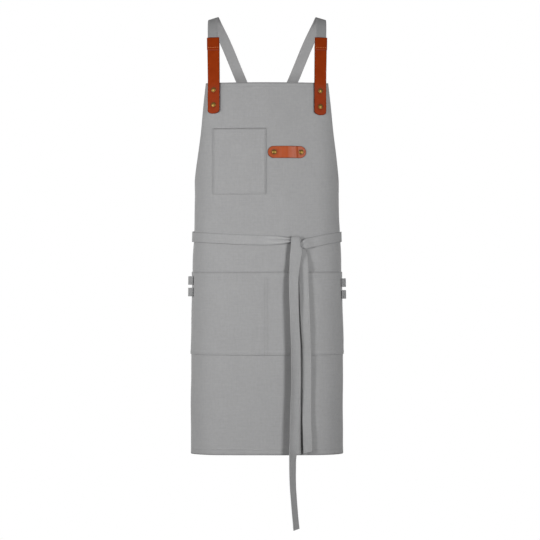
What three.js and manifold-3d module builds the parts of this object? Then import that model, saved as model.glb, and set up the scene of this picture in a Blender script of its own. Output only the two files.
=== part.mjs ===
// A cross-back bib apron in the form it has when worn: a cloth panel with two patch pockets,
// tape straps on riveted leather ends, a leather loop, four tape loops and two tied waist ties.
// Millimetres, +Z up, the front faces -Y. The origin lies midway between the shoulders, on the
// underside of the two straps' tops.
//
// Cloth lies on the form of a wearer. A place on it is a run, the length along the cloth from
// the centre front (+ towards +X), a level, which is its height, and a lift, the distance
// outwards from the middle of the panel's wall.
import * as THREE from "three";
import { mergeVertices } from "three/addons/utils/BufferGeometryUtils.js";
import Module from "manifold-3d";

const wasm = await Module();
wasm.setup();

const UP = new THREE.Vector3(0, 0, 1);
const degrees = THREE.MathUtils.degToRad;

// Walls and the air between pieces that lie on each other
const CLOTH = 1.2;
const TAPE = 1.4;
const LEATHER = 2.2;
const GAP = 0.4;
const ON_PANEL = CLOTH / 2 + GAP;

// The panel's cut: a bib that widens down a curved armhole to the full width at the waist
const BIB_TOP = -156.8;
const HEM = -1015;
const HEM_DIP = 9; // how much lower the hem is at the rear corners than at the centre front
const BIB_HALF = 147.5;
const PANEL_HALF = 356;
const ARMHOLE_DEPTH = 320;
const ARMHOLE_FLARE = 0.15;
const ARMHOLE_POWER = 5.2;
const PANEL_STEPS = { across: 40, armhole: 14, skirt: 10 };

// The form: its centre front and its half width at each level. Each section is three arcs a
// side, over the front, round the side and round the back, and then the flat of the back.
const FORM = [
  { level: -1026, front: 126, halfWidth: 177.8 },
  { level: -790, front: 124, halfWidth: 176.2 },
  { level: -600, front: 120, halfWidth: 173.7 },
  { level: -517, front: 116, halfWidth: 171.5 },
  { level: -400, front: 115, halfWidth: 167.6 },
  { level: -260, front: 109, halfWidth: 167.5 },
  { level: -156, front: 98, halfWidth: 168 },
];
const FRONT_RADIUS = 410;
const FRONT_TURN = degrees(16);
const REAR_RADIUS = 110;

// Patch pockets: open along the top, where they stand off the panel by a belly
const BIB_POCKET = { left: -125.5, right: -2.3, top: -263, bottom: -416, belly: 7, across: 10, down: 8 };
const SKIRT_POCKET = {
  half: 249.2,
  top: -594,
  bottom: -786,
  divider: -3.5,
  bellyHalf: 178,
  belly: 7,
  across: 28,
  down: 8,
};

// Shoulder straps: tape from under the leather's top, over the shoulder, across the back
const STRAP_WIDTH = 25;
const STRAP_RUN = 124;
const STRAP_CROSSING_LIFT = 1.3;
const STRAP_STEPS = 46;
// The tape's middle line, the way its outer face looks, and its share of the lift that takes
// one strap over the other at the back; the last rows reach the far side
const STRAP = [
  { x: 125.6, y: -54.5, z: -79, faceX: 0.33, faceY: -0.85, faceZ: 0.34 },
  { x: 126.6, y: -38, z: -42, faceX: 0.31, faceY: -0.72, faceZ: 0.6 },
  { x: 127, y: -18, z: -11, faceX: 0.28, faceY: -0.42, faceZ: 0.87 },
  { x: 126, y: 0, z: TAPE / 2, faceX: 0.276, faceY: 0, faceZ: 0.961 },
  { x: 119.5, y: 21, z: -11, faceX: 0.24, faceY: 0.45, faceZ: 0.85 },
  { x: 98, y: 55, z: -53, faceX: 0.12, faceY: 0.83, faceZ: 0.5 },
  { x: 61.5, y: 82, z: -139, faceX: 0.05, faceY: 0.97, faceZ: 0.2, over: 0.5 },
  { x: 0, y: 93, z: -279, faceX: 0, faceY: 1, faceZ: 0.03, over: 1 },
  { x: -57, y: 88, z: -400, faceX: -0.12, faceY: 0.99, faceZ: -0.06, over: 0.5 },
  { x: -75, y: 77.3, z: -440, faceX: -0.36, faceY: 0.93, faceZ: -0.06 },
];
const STRAP_ENDS = [
  { run: -354, level: -480 },
  { run: -338, level: -514 },
];
const STRAP_END_LIFT = -5.2;

// Leather ends: riveted to the bib at a rounded foot, sewn over the tape at the top, a little
// nearer to the neck than the tape's middle
const LEATHER_END = {
  width: 30.5,
  footDepth: 8.5,
  cuffTop: -50,
  cuffBottom: -78,
  cuffGap: 0.9,
  cuffInwards: 2,
  steps: 14,
};
const LEATHER_SIDES = [
  { name: "left", side: -1, foot: -229, rivets: { upper: -173.6, lower: -208.4 } },
  { name: "right", side: 1, foot: -232.5, rivets: { upper: -175.8, lower: -212.8 } },
];

// Leather loop on the bib: a round-ended strip that bows off the cloth between two rivets
const LOOP_STRIP = { left: 1.6, right: 90.4, level: -318.6, height: 28, flat: 27, bow: 8.5 };
const LOOP_RIVET_RUNS = { left: 16.2, right: 78.8 };

// Rivets: a domed cap, a shank through leather and cloth, and a flat back
const RIVET = { cap: 5.6, dome: 2.3, rim: 0.7, shank: 1.6, back: 4.4, backThick: 1, seat: 0.4, sides: 12 };
const DRILL_LENGTH = 20;

// Tape loops down each side, one above the other
const SIDE_LOOP = { width: 20, start: 194, end: 248, foot: 12, bow: 6.9, fullness: 0.8, steps: 14 };
const SIDE_LOOP_LEVELS = [
  { name: "left_upper", side: -1, level: -614.5 },
  { name: "left_lower", side: -1, level: -641.5 },
  { name: "right_upper", side: 1, level: -619.5 },
  { name: "right_lower", side: 1, level: -647 },
];

// Waist ties: each is sewn to one rear corner, crosses the back, comes round the other side
// over the panel, and is half knotted with the other at the front. Pitch turns the outer face
// down over a fold and turn twists a hanging end. Steps divide the stretch from the row before.
const TIE_WIDTH = 23.5;
const ON_FORM = ON_PANEL + TAPE / 2 + 0.4;
const FAR_CORNER = 550; // run right round the back to the rear corner on the other side
const TIE_ROOT = FAR_CORNER + 25;
const TIE_FROM_LEFT = [
  { run: -TIE_ROOT, level: -503, lift: ON_FORM, width: TIE_WIDTH, steps: 0 },
  { run: -FAR_CORNER, level: -503, lift: ON_FORM, width: TIE_WIDTH, steps: 2 },
  { run: -356, level: -503, lift: ON_FORM, width: TIE_WIDTH, steps: 11 },
  { run: -216, level: -512, lift: 4.6, width: TIE_WIDTH, steps: 9 },
  { run: -155, level: -515, lift: 2.8, width: TIE_WIDTH, steps: 4 },
  { run: -110, level: -517.7, lift: ON_FORM, width: TIE_WIDTH, steps: 3 },
  { run: -20, level: -521.5, lift: ON_FORM, width: 23, steps: 4 },
  { run: 18, level: -521.8, lift: 2.3, width: 22, steps: 3 },
  { run: 40, level: -521.7, lift: 3.6, width: 18, steps: 2 },
  { run: 53, level: -521.5, lift: 5.6, width: 12.5, steps: 2 },
  { run: 65, level: -522, lift: 6.6, width: 10.5, steps: 2 },
  { run: 76, level: -525.5, lift: 5, width: 10, steps: 2 },
  { run: 83.5, level: -533, lift: 2.7, width: 10, steps: 3 },
  { run: 86, level: -545, lift: 3, width: 12, steps: 3 },
  { run: 85.5, level: -562, lift: 6.5, width: 15.7, steps: 3 },
  { run: 84.6, level: -577, lift: 9.5, width: 18.1, turn: -5, steps: 2 },
  { run: 83.7, level: -600, lift: 12, width: 20.4, turn: -8, steps: 2 },
  { run: 85.2, level: -655, lift: 12.5, width: 20.9, turn: -9, steps: 3 },
  { run: 86.8, level: -704, lift: 12, width: 20.9, turn: -4, steps: 2 },
  { run: 90.3, level: -773, lift: 11, width: 20.2, turn: 9, steps: 2 },
  { run: 91.5, level: -842, lift: 10.5, width: 20.5, turn: 17, steps: 2 },
  { run: 90.4, level: -922, lift: 10.5, width: 21.5, turn: 16, steps: 2 },
  { run: 92.3, level: -1009, lift: 11.5, width: 21.5, turn: 9, steps: 2 },
];
const TIE_FROM_RIGHT = [
  { run: TIE_ROOT, level: -531, lift: ON_FORM, width: TIE_WIDTH, steps: 0 },
  { run: FAR_CORNER, level: -531, lift: ON_FORM, width: TIE_WIDTH, steps: 2 },
  { run: 356, level: -531, lift: ON_FORM, width: TIE_WIDTH, steps: 11 },
  { run: 216, level: -512, lift: 3.4, width: TIE_WIDTH, steps: 9 },
  { run: 150, level: -517.5, lift: ON_FORM, width: TIE_WIDTH, steps: 5 },
  { run: 112, level: -524.7, lift: 2.8, width: 24, steps: 3 },
  { run: 98, level: -527.5, lift: 5.4, width: 24, steps: 2 },
  { run: 87, level: -530.5, lift: 7.2, width: 22, steps: 2 },
  { run: 80, level: -533.5, lift: 7.4, width: 17, steps: 2 },
  { run: 74.5, level: -538, lift: 5.4, width: 11.5, steps: 2 },
  { run: 68.5, level: -536.5, lift: 2.7, width: 10, steps: 3 },
  { run: 65.5, level: -527, lift: 2.5, width: 10, steps: 3 },
  { run: 64.6, level: -517, lift: 2.9, width: 12, pitch: 8, steps: 2 },
  { run: 64.2, level: -512.4, lift: 6.8, width: 17, pitch: 90, steps: 4 },
  { run: 64, level: -519, lift: 11.6, width: 21, pitch: 168, steps: 4 },
  { run: 63.8, level: -535, lift: 14, width: 22.5, pitch: 180, steps: 2 },
  { run: 65.2, level: -547, lift: 15, width: 27.5, pitch: 180, steps: 2 },
  { run: 64, level: -556, lift: 15, width: 27, pitch: 180, steps: 2 },
  { run: 62.2, level: -574, lift: 15, width: 25.4, pitch: 180, steps: 2 },
  { run: 60.2, level: -592, lift: 17, width: 23, pitch: 180, steps: 2 },
  { run: 58.7, level: -617, lift: 19.5, width: 22, pitch: 180, steps: 2 },
  { run: 59, level: -659, lift: 20, width: 21.6, pitch: 180, steps: 2 },
  { run: 60.4, level: -704, lift: 20, width: 21.6, pitch: 180, steps: 2 },
  { run: 62.7, level: -773, lift: 19.5, width: 23, pitch: 180, steps: 2 },
  { run: 63, level: -842, lift: 18.5, width: 24, pitch: 180, steps: 2 },
  { run: 60.2, level: -922, lift: 18.5, width: 23.4, pitch: 180, turn: 3, steps: 3 },
  { run: 59.1, level: -985, lift: 19, width: 23.7, pitch: 180, turn: 11, steps: 2 },
  { run: 55.4, level: -1028, lift: 20, width: TIE_WIDTH, pitch: 180, turn: 41, steps: 4 },
  { run: 56, level: -1075, lift: 20, width: TIE_WIDTH, pitch: 180, turn: 44, steps: 2 },
  { run: 59, level: -1125, lift: 20, width: TIE_WIDTH, pitch: 180, turn: 46, steps: 2 },
  { run: 64.3, level: -1184, lift: 20, width: TIE_WIDTH, pitch: 180, turn: 46, steps: 2 },
];

// Finishes
const cloth = new THREE.MeshStandardMaterial({ color: 0x9e9e9e, roughness: 0.9, metalness: 0 });
const tape = new THREE.MeshStandardMaterial({ color: 0x989898, roughness: 0.9, metalness: 0 });
const leather = new THREE.MeshStandardMaterial({ color: 0x933a10, roughness: 0.5, metalness: 0 });
const brass = new THREE.MeshStandardMaterial({ color: 0xb08a4a, roughness: 0.3, metalness: 1 });

// A smooth curve through named columns of a table, read at any value of its ascending keys. A
// column never runs past its own rows: its slope at a row is the weighted harmonic mean of the
// slopes on either side, or level where the column turns back.
function smoothColumns(keys, rows, columns) {
  const last = rows.length - 1;
  const steps = keys.slice(1).map((key, i) => key - keys[i]);
  const slopes = Object.fromEntries(
    columns.map((column) => {
      const rises = steps.map((step, i) => ((rows[i + 1][column] ?? 0) - (rows[i][column] ?? 0)) / step);
      const atRow = rows.map((_, i) => {
        if (i === 0 || i === last) return rises[Math.min(i, last - 1)];
        if (rises[i - 1] * rises[i] <= 0) return 0;
        const before = 2 * steps[i] + steps[i - 1];
        const after = steps[i] + 2 * steps[i - 1];
        return (before + after) / (before / rises[i - 1] + after / rises[i]);
      });
      return [column, atRow];
    }),
  );
  return (key) => {
    const inside = THREE.MathUtils.clamp(key, keys[0], keys[last]);
    const i = Math.max(1, keys.findIndex((next) => next >= inside)) - 1;
    const share = (inside - keys[i]) / steps[i];
    const rest = 1 - share;
    const value = (column) => {
      const [from, to] = [rows[i][column] ?? 0, rows[i + 1][column] ?? 0];
      const [leaving, arriving] = [slopes[column][i], slopes[column][i + 1]];
      const eased = from * (1 + 2 * share) * rest ** 2 + to * (3 - 2 * share) * share ** 2;
      return eased + steps[i] * share * rest * (leaving * rest - arriving * share);
    };
    return Object.fromEntries(columns.map((column) => [column, value(column)]));
  };
}

const sectionAt = smoothColumns(FORM.map((row) => row.level), FORM, ["front", "halfWidth"]);

// The point and the outward direction at a run, level and lift.
function place(run, level, lift = 0) {
  const { front, halfWidth } = sectionAt(level);
  const sideRadius =
    (halfWidth - FRONT_RADIUS * Math.sin(FRONT_TURN)) / (1 - Math.sin(FRONT_TURN));
  const arcs = [
    { radius: FRONT_RADIUS, turn: FRONT_TURN },
    { radius: sideRadius, turn: Math.PI / 2 - FRONT_TURN },
    { radius: REAR_RADIUS, turn: Math.PI / 2 },
  ];
  const side = Math.sign(run) || 1;
  let left = Math.abs(run);
  let x = 0;
  let y = -front;
  let heading = 0;
  for (const { radius, turn } of arcs) {
    const turned = Math.min(left / radius, turn);
    x += radius * (Math.sin(heading + turned) - Math.sin(heading));
    y += radius * (Math.cos(heading) - Math.cos(heading + turned));
    heading += turned;
    left -= turned * radius;
  }
  if (left > x) return place(-side * (Math.abs(run) - 2 * (left - x)), level, lift);
  const out = new THREE.Vector3(side * Math.sin(heading), -Math.cos(heading), 0);
  const point = new THREE.Vector3(side * (x - left), y, level).addScaledVector(out, lift);
  return { point, out };
}

// The direction square to the form at a place, its slope up and down included.
function squareTo(run, level) {
  const reach = 1;
  const across = place(run + reach, level).point.sub(place(run - reach, level).point);
  const upwards = place(run, level + reach).point.sub(place(run, level - reach).point);
  return across.cross(upwards).normalize();
}

const spread = (count, from, to) =>
  Array.from({ length: count + 1 }, (_, i) => from + ((to - from) * i) / count);

// A closed wall round a grid of points on its middle surface, each with its outward direction.
function wall(grid, thickness) {
  const across = grid[0].length;
  const positions = grid
    .flat()
    .flatMap(({ point, out }) =>
      [0.5, -0.5].flatMap((half) => point.clone().addScaledVector(out, half * thickness).toArray()),
    );
  const corner = (i, j, face) => 2 * (i * across + j) + face;
  const triangles = [];
  const quad = (a, b, c, d) => triangles.push(a, b, c, a, c, d);
  const bottom = grid.length - 1;
  const right = across - 1;
  for (let i = 0; i < bottom; i++)
    for (let j = 0; j < right; j++) {
      quad(corner(i, j, 0), corner(i, j + 1, 0), corner(i + 1, j + 1, 0), corner(i + 1, j, 0));
      quad(corner(i, j, 1), corner(i + 1, j, 1), corner(i + 1, j + 1, 1), corner(i, j + 1, 1));
    }
  for (let j = 0; j < right; j++) {
    quad(corner(0, j, 0), corner(0, j, 1), corner(0, j + 1, 1), corner(0, j + 1, 0));
    quad(corner(bottom, j, 0), corner(bottom, j + 1, 0), corner(bottom, j + 1, 1), corner(bottom, j, 1));
  }
  for (let i = 0; i < bottom; i++) {
    quad(corner(i, 0, 0), corner(i + 1, 0, 0), corner(i + 1, 0, 1), corner(i, 0, 1));
    quad(corner(i, right, 0), corner(i, right, 1), corner(i + 1, right, 1), corner(i + 1, right, 0));
  }
  return facingOut(positions, triangles);
}

// A geometry of those triangles, turned round if they enclose a negative volume.
function facingOut(positions, triangles) {
  const at = (i) => new THREE.Vector3().fromArray(positions, 3 * i);
  let volume = 0;
  for (let i = 0; i < triangles.length; i += 3)
    volume += at(triangles[i]).dot(at(triangles[i + 1]).cross(at(triangles[i + 2])));
  return new THREE.BufferGeometry()
    .setAttribute("position", new THREE.Float32BufferAttribute(positions, 3))
    .setIndex(volume < 0 ? triangles.toReversed() : triangles);
}

// A flat band along stations, each a point of its middle line, the way it faces and its width.
function band(stations, thickness) {
  const grid = stations.map(({ point, facing, width }, i) => {
    const before = stations[Math.max(i - 1, 0)].point;
    const after = stations[Math.min(i + 1, stations.length - 1)].point;
    const along = after.clone().sub(before).normalize();
    const across = along.clone().cross(facing).normalize();
    const out = across.clone().cross(along);
    return [-0.5, 0.5].map((half) => ({
      point: point.clone().addScaledVector(across, half * width),
      out,
    }));
  });
  return wall(grid, thickness);
}

// A tape that follows a table of runs, levels and lifts.
function tapeOnForm(rows) {
  const columns = ["run", "level", "lift", "width", "pitch", "turn"];
  const inChart = (row) => new THREE.Vector3(row.run, row.level, row.lift);
  const reached = [0];
  rows.slice(1).forEach((row, i) => reached.push(reached[i] + inChart(row).distanceTo(inChart(rows[i]))));
  const at = smoothColumns(reached, rows, columns);
  const samples = rows.flatMap((row, i) =>
    i === 0 ? [0] : spread(row.steps, reached[i - 1], reached[i]).slice(1),
  );
  const stations = samples.map((reach) => {
    const { run, level, lift, width, pitch, turn } = at(reach);
    const { point } = place(run, level, lift);
    const facing = squareTo(run, level)
      .applyAxisAngle(UP, degrees(turn))
      .multiplyScalar(Math.cos(degrees(pitch)))
      .addScaledVector(UP, -Math.sin(degrees(pitch)));
    return { point, facing, width };
  });
  return band(stations, TAPE);
}

// Distances from a rounded end of a strip, half a circle unless its depth is less, with the
// strip's width at each.
function roundEnd(width, depth = width / 2) {
  return [10, 28, 48, 68, 90].map((angle) => ({
    inset: depth * (1 - Math.cos(degrees(angle))),
    width: width * Math.sin(degrees(angle)),
  }));
}

function solidOf(geometry) {
  const plain = geometry.clone();
  plain.deleteAttribute("normal");
  plain.deleteAttribute("uv");
  const merged = mergeVertices(plain);
  return new wasm.Manifold(
    new wasm.Mesh({
      numProp: 3,
      vertProperties: new Float32Array(merged.attributes.position.array),
      triVerts: new Uint32Array(merged.index.array),
    }),
  );
}

// A geometry with a round hole drilled through it at each rivet.
function drilled(geometry, rivets) {
  const radius = RIVET.shank + RIVET.seat;
  let solid = solidOf(geometry);
  for (const rivet of rivets) {
    const drill = new THREE.CylinderGeometry(radius, radius, DRILL_LENGTH, RIVET.sides);
    drill.applyMatrix4(rivetFrame(rivet));
    solid = solid.subtract(solidOf(drill));
  }
  const cut = solid.getMesh();
  return new THREE.BufferGeometry()
    .setAttribute("position", new THREE.Float32BufferAttribute(cut.vertProperties, 3))
    .setIndex(Array.from(cut.triVerts));
}

// A rivet's frame: its origin in the middle of the panel's wall, its own Y outwards.
function rivetFrame({ run, level }) {
  const turn = new THREE.Quaternion().setFromUnitVectors(new THREE.Vector3(0, 1, 0), squareTo(run, level));
  return new THREE.Matrix4().compose(place(run, level).point, turn, new THREE.Vector3(1, 1, 1));
}

// The panel's half width along the cloth at a level.
function panelHalf(level) {
  const drop = Math.min(BIB_TOP - level, ARMHOLE_DEPTH);
  const flare = ARMHOLE_FLARE * drop;
  const curve = PANEL_HALF - BIB_HALF - ARMHOLE_FLARE * ARMHOLE_DEPTH;
  return BIB_HALF + flare + curve * (drop / ARMHOLE_DEPTH) ** ARMHOLE_POWER;
}

function panel(rivets) {
  const waist = BIB_TOP - ARMHOLE_DEPTH;
  const levels = [
    ...spread(PANEL_STEPS.armhole, BIB_TOP, waist),
    ...spread(PANEL_STEPS.skirt, waist, HEM).slice(1),
  ];
  const grid = levels.map((level) => {
    const skirtShare = Math.max(0, (waist - level) / (waist - HEM));
    return spread(PANEL_STEPS.across, -1, 1).map((share) =>
      place(share * panelHalf(level), level - HEM_DIP * skirtShare * share ** 2),
    );
  });
  return drilled(wall(grid, CLOTH), rivets);
}

// A pocket's wall over the panel: sewn flat at its edges, standing off by its belly at the mouth.
function pocket({ top, bottom, down, belly }, runs, bellyShare) {
  const grid = spread(down, top, bottom).map((level) => {
    const openness = (level - bottom) / (top - bottom);
    return runs.map((run) =>
      place(run, level, ON_PANEL + CLOTH / 2 + belly * openness * bellyShare(run)),
    );
  });
  return wall(grid, CLOTH);
}

function bibPocket() {
  const { left, right, across } = BIB_POCKET;
  const bellyShare = (run) => Math.sin((Math.PI * (run - left)) / (right - left));
  return pocket(BIB_POCKET, spread(across, left, right), bellyShare);
}

// One wide pocket, sewn down to the panel along a divider, so that two compartments stand open.
function skirtPocket() {
  const { half, divider, bellyHalf, across } = SKIRT_POCKET;
  const bellyShare = (run) => {
    const edge = run < divider ? -bellyHalf : bellyHalf;
    const share = (run - divider) / (edge - divider);
    return share < 1 ? Math.sin(Math.PI * share) : 0;
  };
  return pocket(SKIRT_POCKET, spread(across, -half, half), bellyShare);
}

// The strap whose front lies on one side, mirrored for the other. One passes over the other
// where they cross.
function strap(side) {
  const rows = STRAP.map((row) => ({ ...row, y: row.y + side * STRAP_CROSSING_LIFT * (row.over ?? 0) }));
  for (const { run, level } of STRAP_ENDS) {
    const { point, out } = place(run, level, STRAP_END_LIFT);
    rows.push({ x: point.x, y: point.y, z: point.z, faceX: out.x, faceY: out.y, faceZ: 0 });
  }
  const curve = new THREE.CatmullRomCurve3(rows.map(({ x, y, z }) => new THREE.Vector3(side * x, y, z)));
  const faces = new THREE.CatmullRomCurve3(
    rows.map(({ faceX, faceY, faceZ }) => new THREE.Vector3(side * faceX, faceY, faceZ)),
  );
  const stations = spread(STRAP_STEPS, 0, 1).map((share) => {
    const t = curve.getUtoTmapping(share);
    return { point: curve.getPoint(t), facing: faces.getPoint(t).normalize(), width: STRAP_WIDTH };
  });
  return band(stations, TAPE);
}

// A leather end: flat on the bib up to its top, then over the strap's tape.
function leatherEnd(side, foot, rivets) {
  const { width, footDepth, cuffTop, cuffBottom, cuffGap, cuffInwards, steps } = LEATHER_END;
  const overTape = cuffGap + (TAPE + LEATHER) / 2;
  const onBib = spread(3, foot, BIB_TOP).map((level) => {
    const { point } = place(STRAP_RUN, level, ON_PANEL + LEATHER / 2);
    return { point, facing: squareTo(STRAP_RUN, level) };
  });
  const [tapeEnd, tapeNext] = STRAP.map(({ x, y, z }) => new THREE.Vector3(x, y, z));
  const along = tapeNext.clone().sub(tapeEnd);
  const tapeFace = new THREE.Vector3(STRAP[0].faceX, STRAP[0].faceY, STRAP[0].faceZ);
  const outwards = along.clone().cross(tapeFace).normalize();
  const facing = outwards.clone().cross(along).normalize();
  const onTape = spread(2, cuffBottom, cuffTop).map((level) => {
    const share = (level - tapeEnd.z) / along.z;
    const point = tapeEnd.clone().addScaledVector(along, share).addScaledVector(facing, overTape);
    return { point: point.addScaledVector(outwards, -cuffInwards), facing };
  });
  const rows = [...onBib, ...onTape];
  const curve = new THREE.CatmullRomCurve3(rows.map(({ point }) => point));
  const faces = new THREE.CatmullRomCurve3(rows.map(({ facing }) => facing));
  const length = curve.getLength();
  const reaches = [
    ...roundEnd(width, footDepth).map(({ inset, width: wide }) => ({ share: inset / length, wide })),
    ...spread(steps, width / length, 1).map((share) => ({ share, wide: width })),
  ];
  const stations = reaches.map(({ share, wide }) => {
    const t = curve.getUtoTmapping(share);
    return { point: curve.getPoint(t), facing: faces.getPoint(t), width: wide };
  });
  stations.forEach(({ point, facing }) => [point, facing].forEach((vector) => (vector.x *= side)));
  return drilled(band(stations, LEATHER), rivets);
}

// The strip of the leather loop, flat at both ends and bowed off the cloth between them.
function loopStrip(rivets) {
  const { left, right, level, height, flat, bow } = LOOP_STRIP;
  const ends = roundEnd(height);
  const middle = spread(12, left + height / 2, right - height / 2).slice(1, -1);
  const places = [
    ...ends.map(({ inset, width }) => ({ run: left + inset, width })),
    ...middle.map((run) => ({ run, width: height })),
    ...ends.toReversed().map(({ inset, width }) => ({ run: right - inset, width })),
  ];
  const stations = places.map(({ run, width }) => {
    const share = THREE.MathUtils.clamp((run - left - flat) / (right - left - 2 * flat), 0, 1);
    const lift = ON_PANEL + LEATHER / 2 + bow * Math.sin(Math.PI * share) ** 2;
    return { point: place(run, level, lift).point, facing: squareTo(run, level), width };
  });
  return drilled(band(stations, LEATHER), rivets);
}

// A rivet turned about its own Y: back, shank and domed cap over a sheet of leather.
function rivet() {
  const { cap, dome, rim, shank, back, backThick, seat, sides } = RIVET;
  const capFoot = ON_PANEL + LEATHER + seat;
  const backTop = -CLOTH / 2 - seat;
  const profile = [
    [0, backTop - backThick],
    [back, backTop - backThick],
    [back, backTop],
    [shank, backTop],
    [shank, capFoot],
    [cap, capFoot],
    [cap, capFoot + rim],
    [cap * 0.72, capFoot + rim + (dome - rim) * 0.7],
    [0, capFoot + dome],
  ];
  return new THREE.LatheGeometry(profile.map(([radius, height]) => new THREE.Vector2(radius, height)), sides);
}

// A tape loop sewn flat at both feet, arched outwards between them.
function sideLoop(side, level) {
  const { width, start, end, foot, bow, fullness, steps } = SIDE_LOOP;
  const onPocket = ON_PANEL + CLOTH + GAP + TAPE / 2;
  const stations = spread(steps, start, end).map((run) => {
    const share = THREE.MathUtils.clamp((run - start - foot) / (end - start - 2 * foot), 0, 1);
    const arch = bow * Math.sin(Math.PI * share) ** fullness;
    const { point, out } = place(side * run, level, onPocket + arch);
    return { point, facing: out, width };
  });
  return band(stations, TAPE);
}

const apron = new THREE.Group();

function add(name, geometry, material, frame) {
  const mesh = new THREE.Mesh(geometry, material);
  mesh.name = name;
  if (frame) frame.decompose(mesh.position, mesh.quaternion, mesh.scale);
  apron.add(mesh);
}

const strapRivets = LEATHER_SIDES.flatMap(({ side, name, rivets }) =>
  Object.entries(rivets).map(([row, level]) => ({
    name: `strap_rivet_${name}_${row}`,
    side,
    run: side * STRAP_RUN,
    level,
  })),
);
const loopRivets = Object.entries(LOOP_RIVET_RUNS).map(([name, run]) => ({
  name: `loop_rivet_${name}`,
  run,
  level: LOOP_STRIP.level,
}));
const allRivets = [...strapRivets, ...loopRivets];

add("apron_panel", panel(allRivets), cloth);
add("bib_pocket", bibPocket(), cloth);
add("skirt_pocket", skirtPocket(), cloth);
for (const { side, name, foot } of LEATHER_SIDES) {
  add(`shoulder_strap_${name}`, strap(side), tape);
  const ownRivets = strapRivets.filter((one) => one.side === side);
  add(`leather_end_${name}`, leatherEnd(side, foot, ownRivets), leather);
}
add("leather_loop", loopStrip(loopRivets), leather);
for (const one of allRivets) add(one.name, rivet(), brass, rivetFrame(one));
for (const { name, side, level } of SIDE_LOOP_LEVELS) add(`side_loop_${name}`, sideLoop(side, level), tape);
add("waist_tie_left", tapeOnForm(TIE_FROM_LEFT), cloth);
add("waist_tie_right", tapeOnForm(TIE_FROM_RIGHT), cloth);

export default apron;
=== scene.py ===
import bmesh
import bpy
import numpy as np
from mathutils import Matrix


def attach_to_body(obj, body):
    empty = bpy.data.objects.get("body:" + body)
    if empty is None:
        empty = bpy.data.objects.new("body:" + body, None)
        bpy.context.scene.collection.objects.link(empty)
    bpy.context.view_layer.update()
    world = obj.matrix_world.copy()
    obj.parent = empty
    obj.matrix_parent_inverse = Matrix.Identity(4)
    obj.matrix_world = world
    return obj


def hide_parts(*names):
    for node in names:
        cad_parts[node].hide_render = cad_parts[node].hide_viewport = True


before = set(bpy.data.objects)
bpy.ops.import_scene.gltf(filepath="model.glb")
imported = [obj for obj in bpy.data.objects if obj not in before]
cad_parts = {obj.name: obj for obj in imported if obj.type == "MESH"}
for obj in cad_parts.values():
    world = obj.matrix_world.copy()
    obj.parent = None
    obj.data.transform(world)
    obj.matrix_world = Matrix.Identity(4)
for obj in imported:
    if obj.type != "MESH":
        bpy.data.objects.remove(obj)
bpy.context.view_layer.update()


# The apron panel: one piece of mid-grey cotton twill with a bib, curved armholes and a skirt that
# reaches round to the back. Every edge is turned under and sewn down with one row of stitches,
# and the cloth takes the form of the chest, waist and hips that it is worn over.
CLOTH = 1.2
BIB_TOP, HEM, HEM_DIP = -156.8, -1015.0, 9.0
BIB_HALF, PANEL_HALF = 147.5, 356.0
ARMHOLE_DEPTH, ARMHOLE_FLARE, ARMHOLE_POWER = 320.0, 0.15, 5.2
SIDE_HEM, TOP_HEM, BOTTOM_HEM = 10.0, 12.0, 14.5
HEM_STITCH = 0.8  # share of a hem's depth
HEM_RISE, STITCH_DIP = 0.35, 0.35  # outside
HEM_LAYER, INSIDE_DIP = 1.3, 0.3  # inside
# Strengths of the painted shade along the panel's top and bottom edges, its sides and its seams
PAINTED_EDGE_SHADE, PAINTED_SIDE_SHADE, PAINTED_SEAM_SHADE = 0.4, 0.2, 0.1
SEAM_LIFTS = (0.55, -1.75)  # outside, inside
FORM_LEVEL = np.array([-1026, -790, -600, -517, -400, -260, -156.0])
FORM_FRONT = np.array([126, 124, 120, 116, 115, 109, 98.0])
FORM_HALF = np.array([177.8, 176.2, 173.7, 171.5, 167.6, 167.5, 168.0])
FRONT_RADIUS, FRONT_TURN, REAR_RADIUS = 410.0, np.radians(16), 110.0
WAIST, KNOT = -518.0, (68.0, -497.0)  # level; run and level of the cloth over the knot
# How the cloth stands off at the waist and behind: height, reach, length of a wave over 2 pi
WAIST_HOLLOW, HOLLOW_REACH = 0.8, 24.0
GATHER, GATHER_REACH, GATHER_WAVE = 0.3, 34.0, 6.1
PUCKER, PUCKER_REACH, PUCKER_WAVE = 0.4, (22.0, 10.0), 3.4
DRAG, DRAG_REACH, DRAG_WAVE, DRAG_RUNS = 1.2, 110.0, 21.0, (160.0, 260.0)
REAR_FOLD, FOLD_WAVE, FREE_RUNS, FREE_LEVELS = 6.0, 13.0, (235.0, 330.0), (-560.0, HEM)
# Swells of the cloth off the smooth form: height, turns a metre across and down, phase
SWELLS = (
    (0.45, 4.1, 2.3, 0.4),
    (0.40, -5.3, 3.6, 1.9),
    (0.30, 8.7, 1.4, 3.1),
    (0.22, -3.2, 9.1, 4.4),
    (0.16, 13.1, 5.2, 0.9),
)
GREY_DARK, GREY_LIGHT = (0.260, 0.260, 0.262, 1), (0.328, 0.328, 0.330, 1)
PAINTED_SHADE_GREY = (0.09, 0.09, 0.091, 1)


def cubic(share, start, end, leave, arrive):
    """A cubic from start to end for a share from 0 to 1, with those slopes at its ends."""
    rest = 1 - share
    eased = start * (1 + 2 * share) * rest**2 + end * (3 - 2 * share) * share**2
    return eased + share * rest * (leave * rest - arrive * share)


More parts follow.
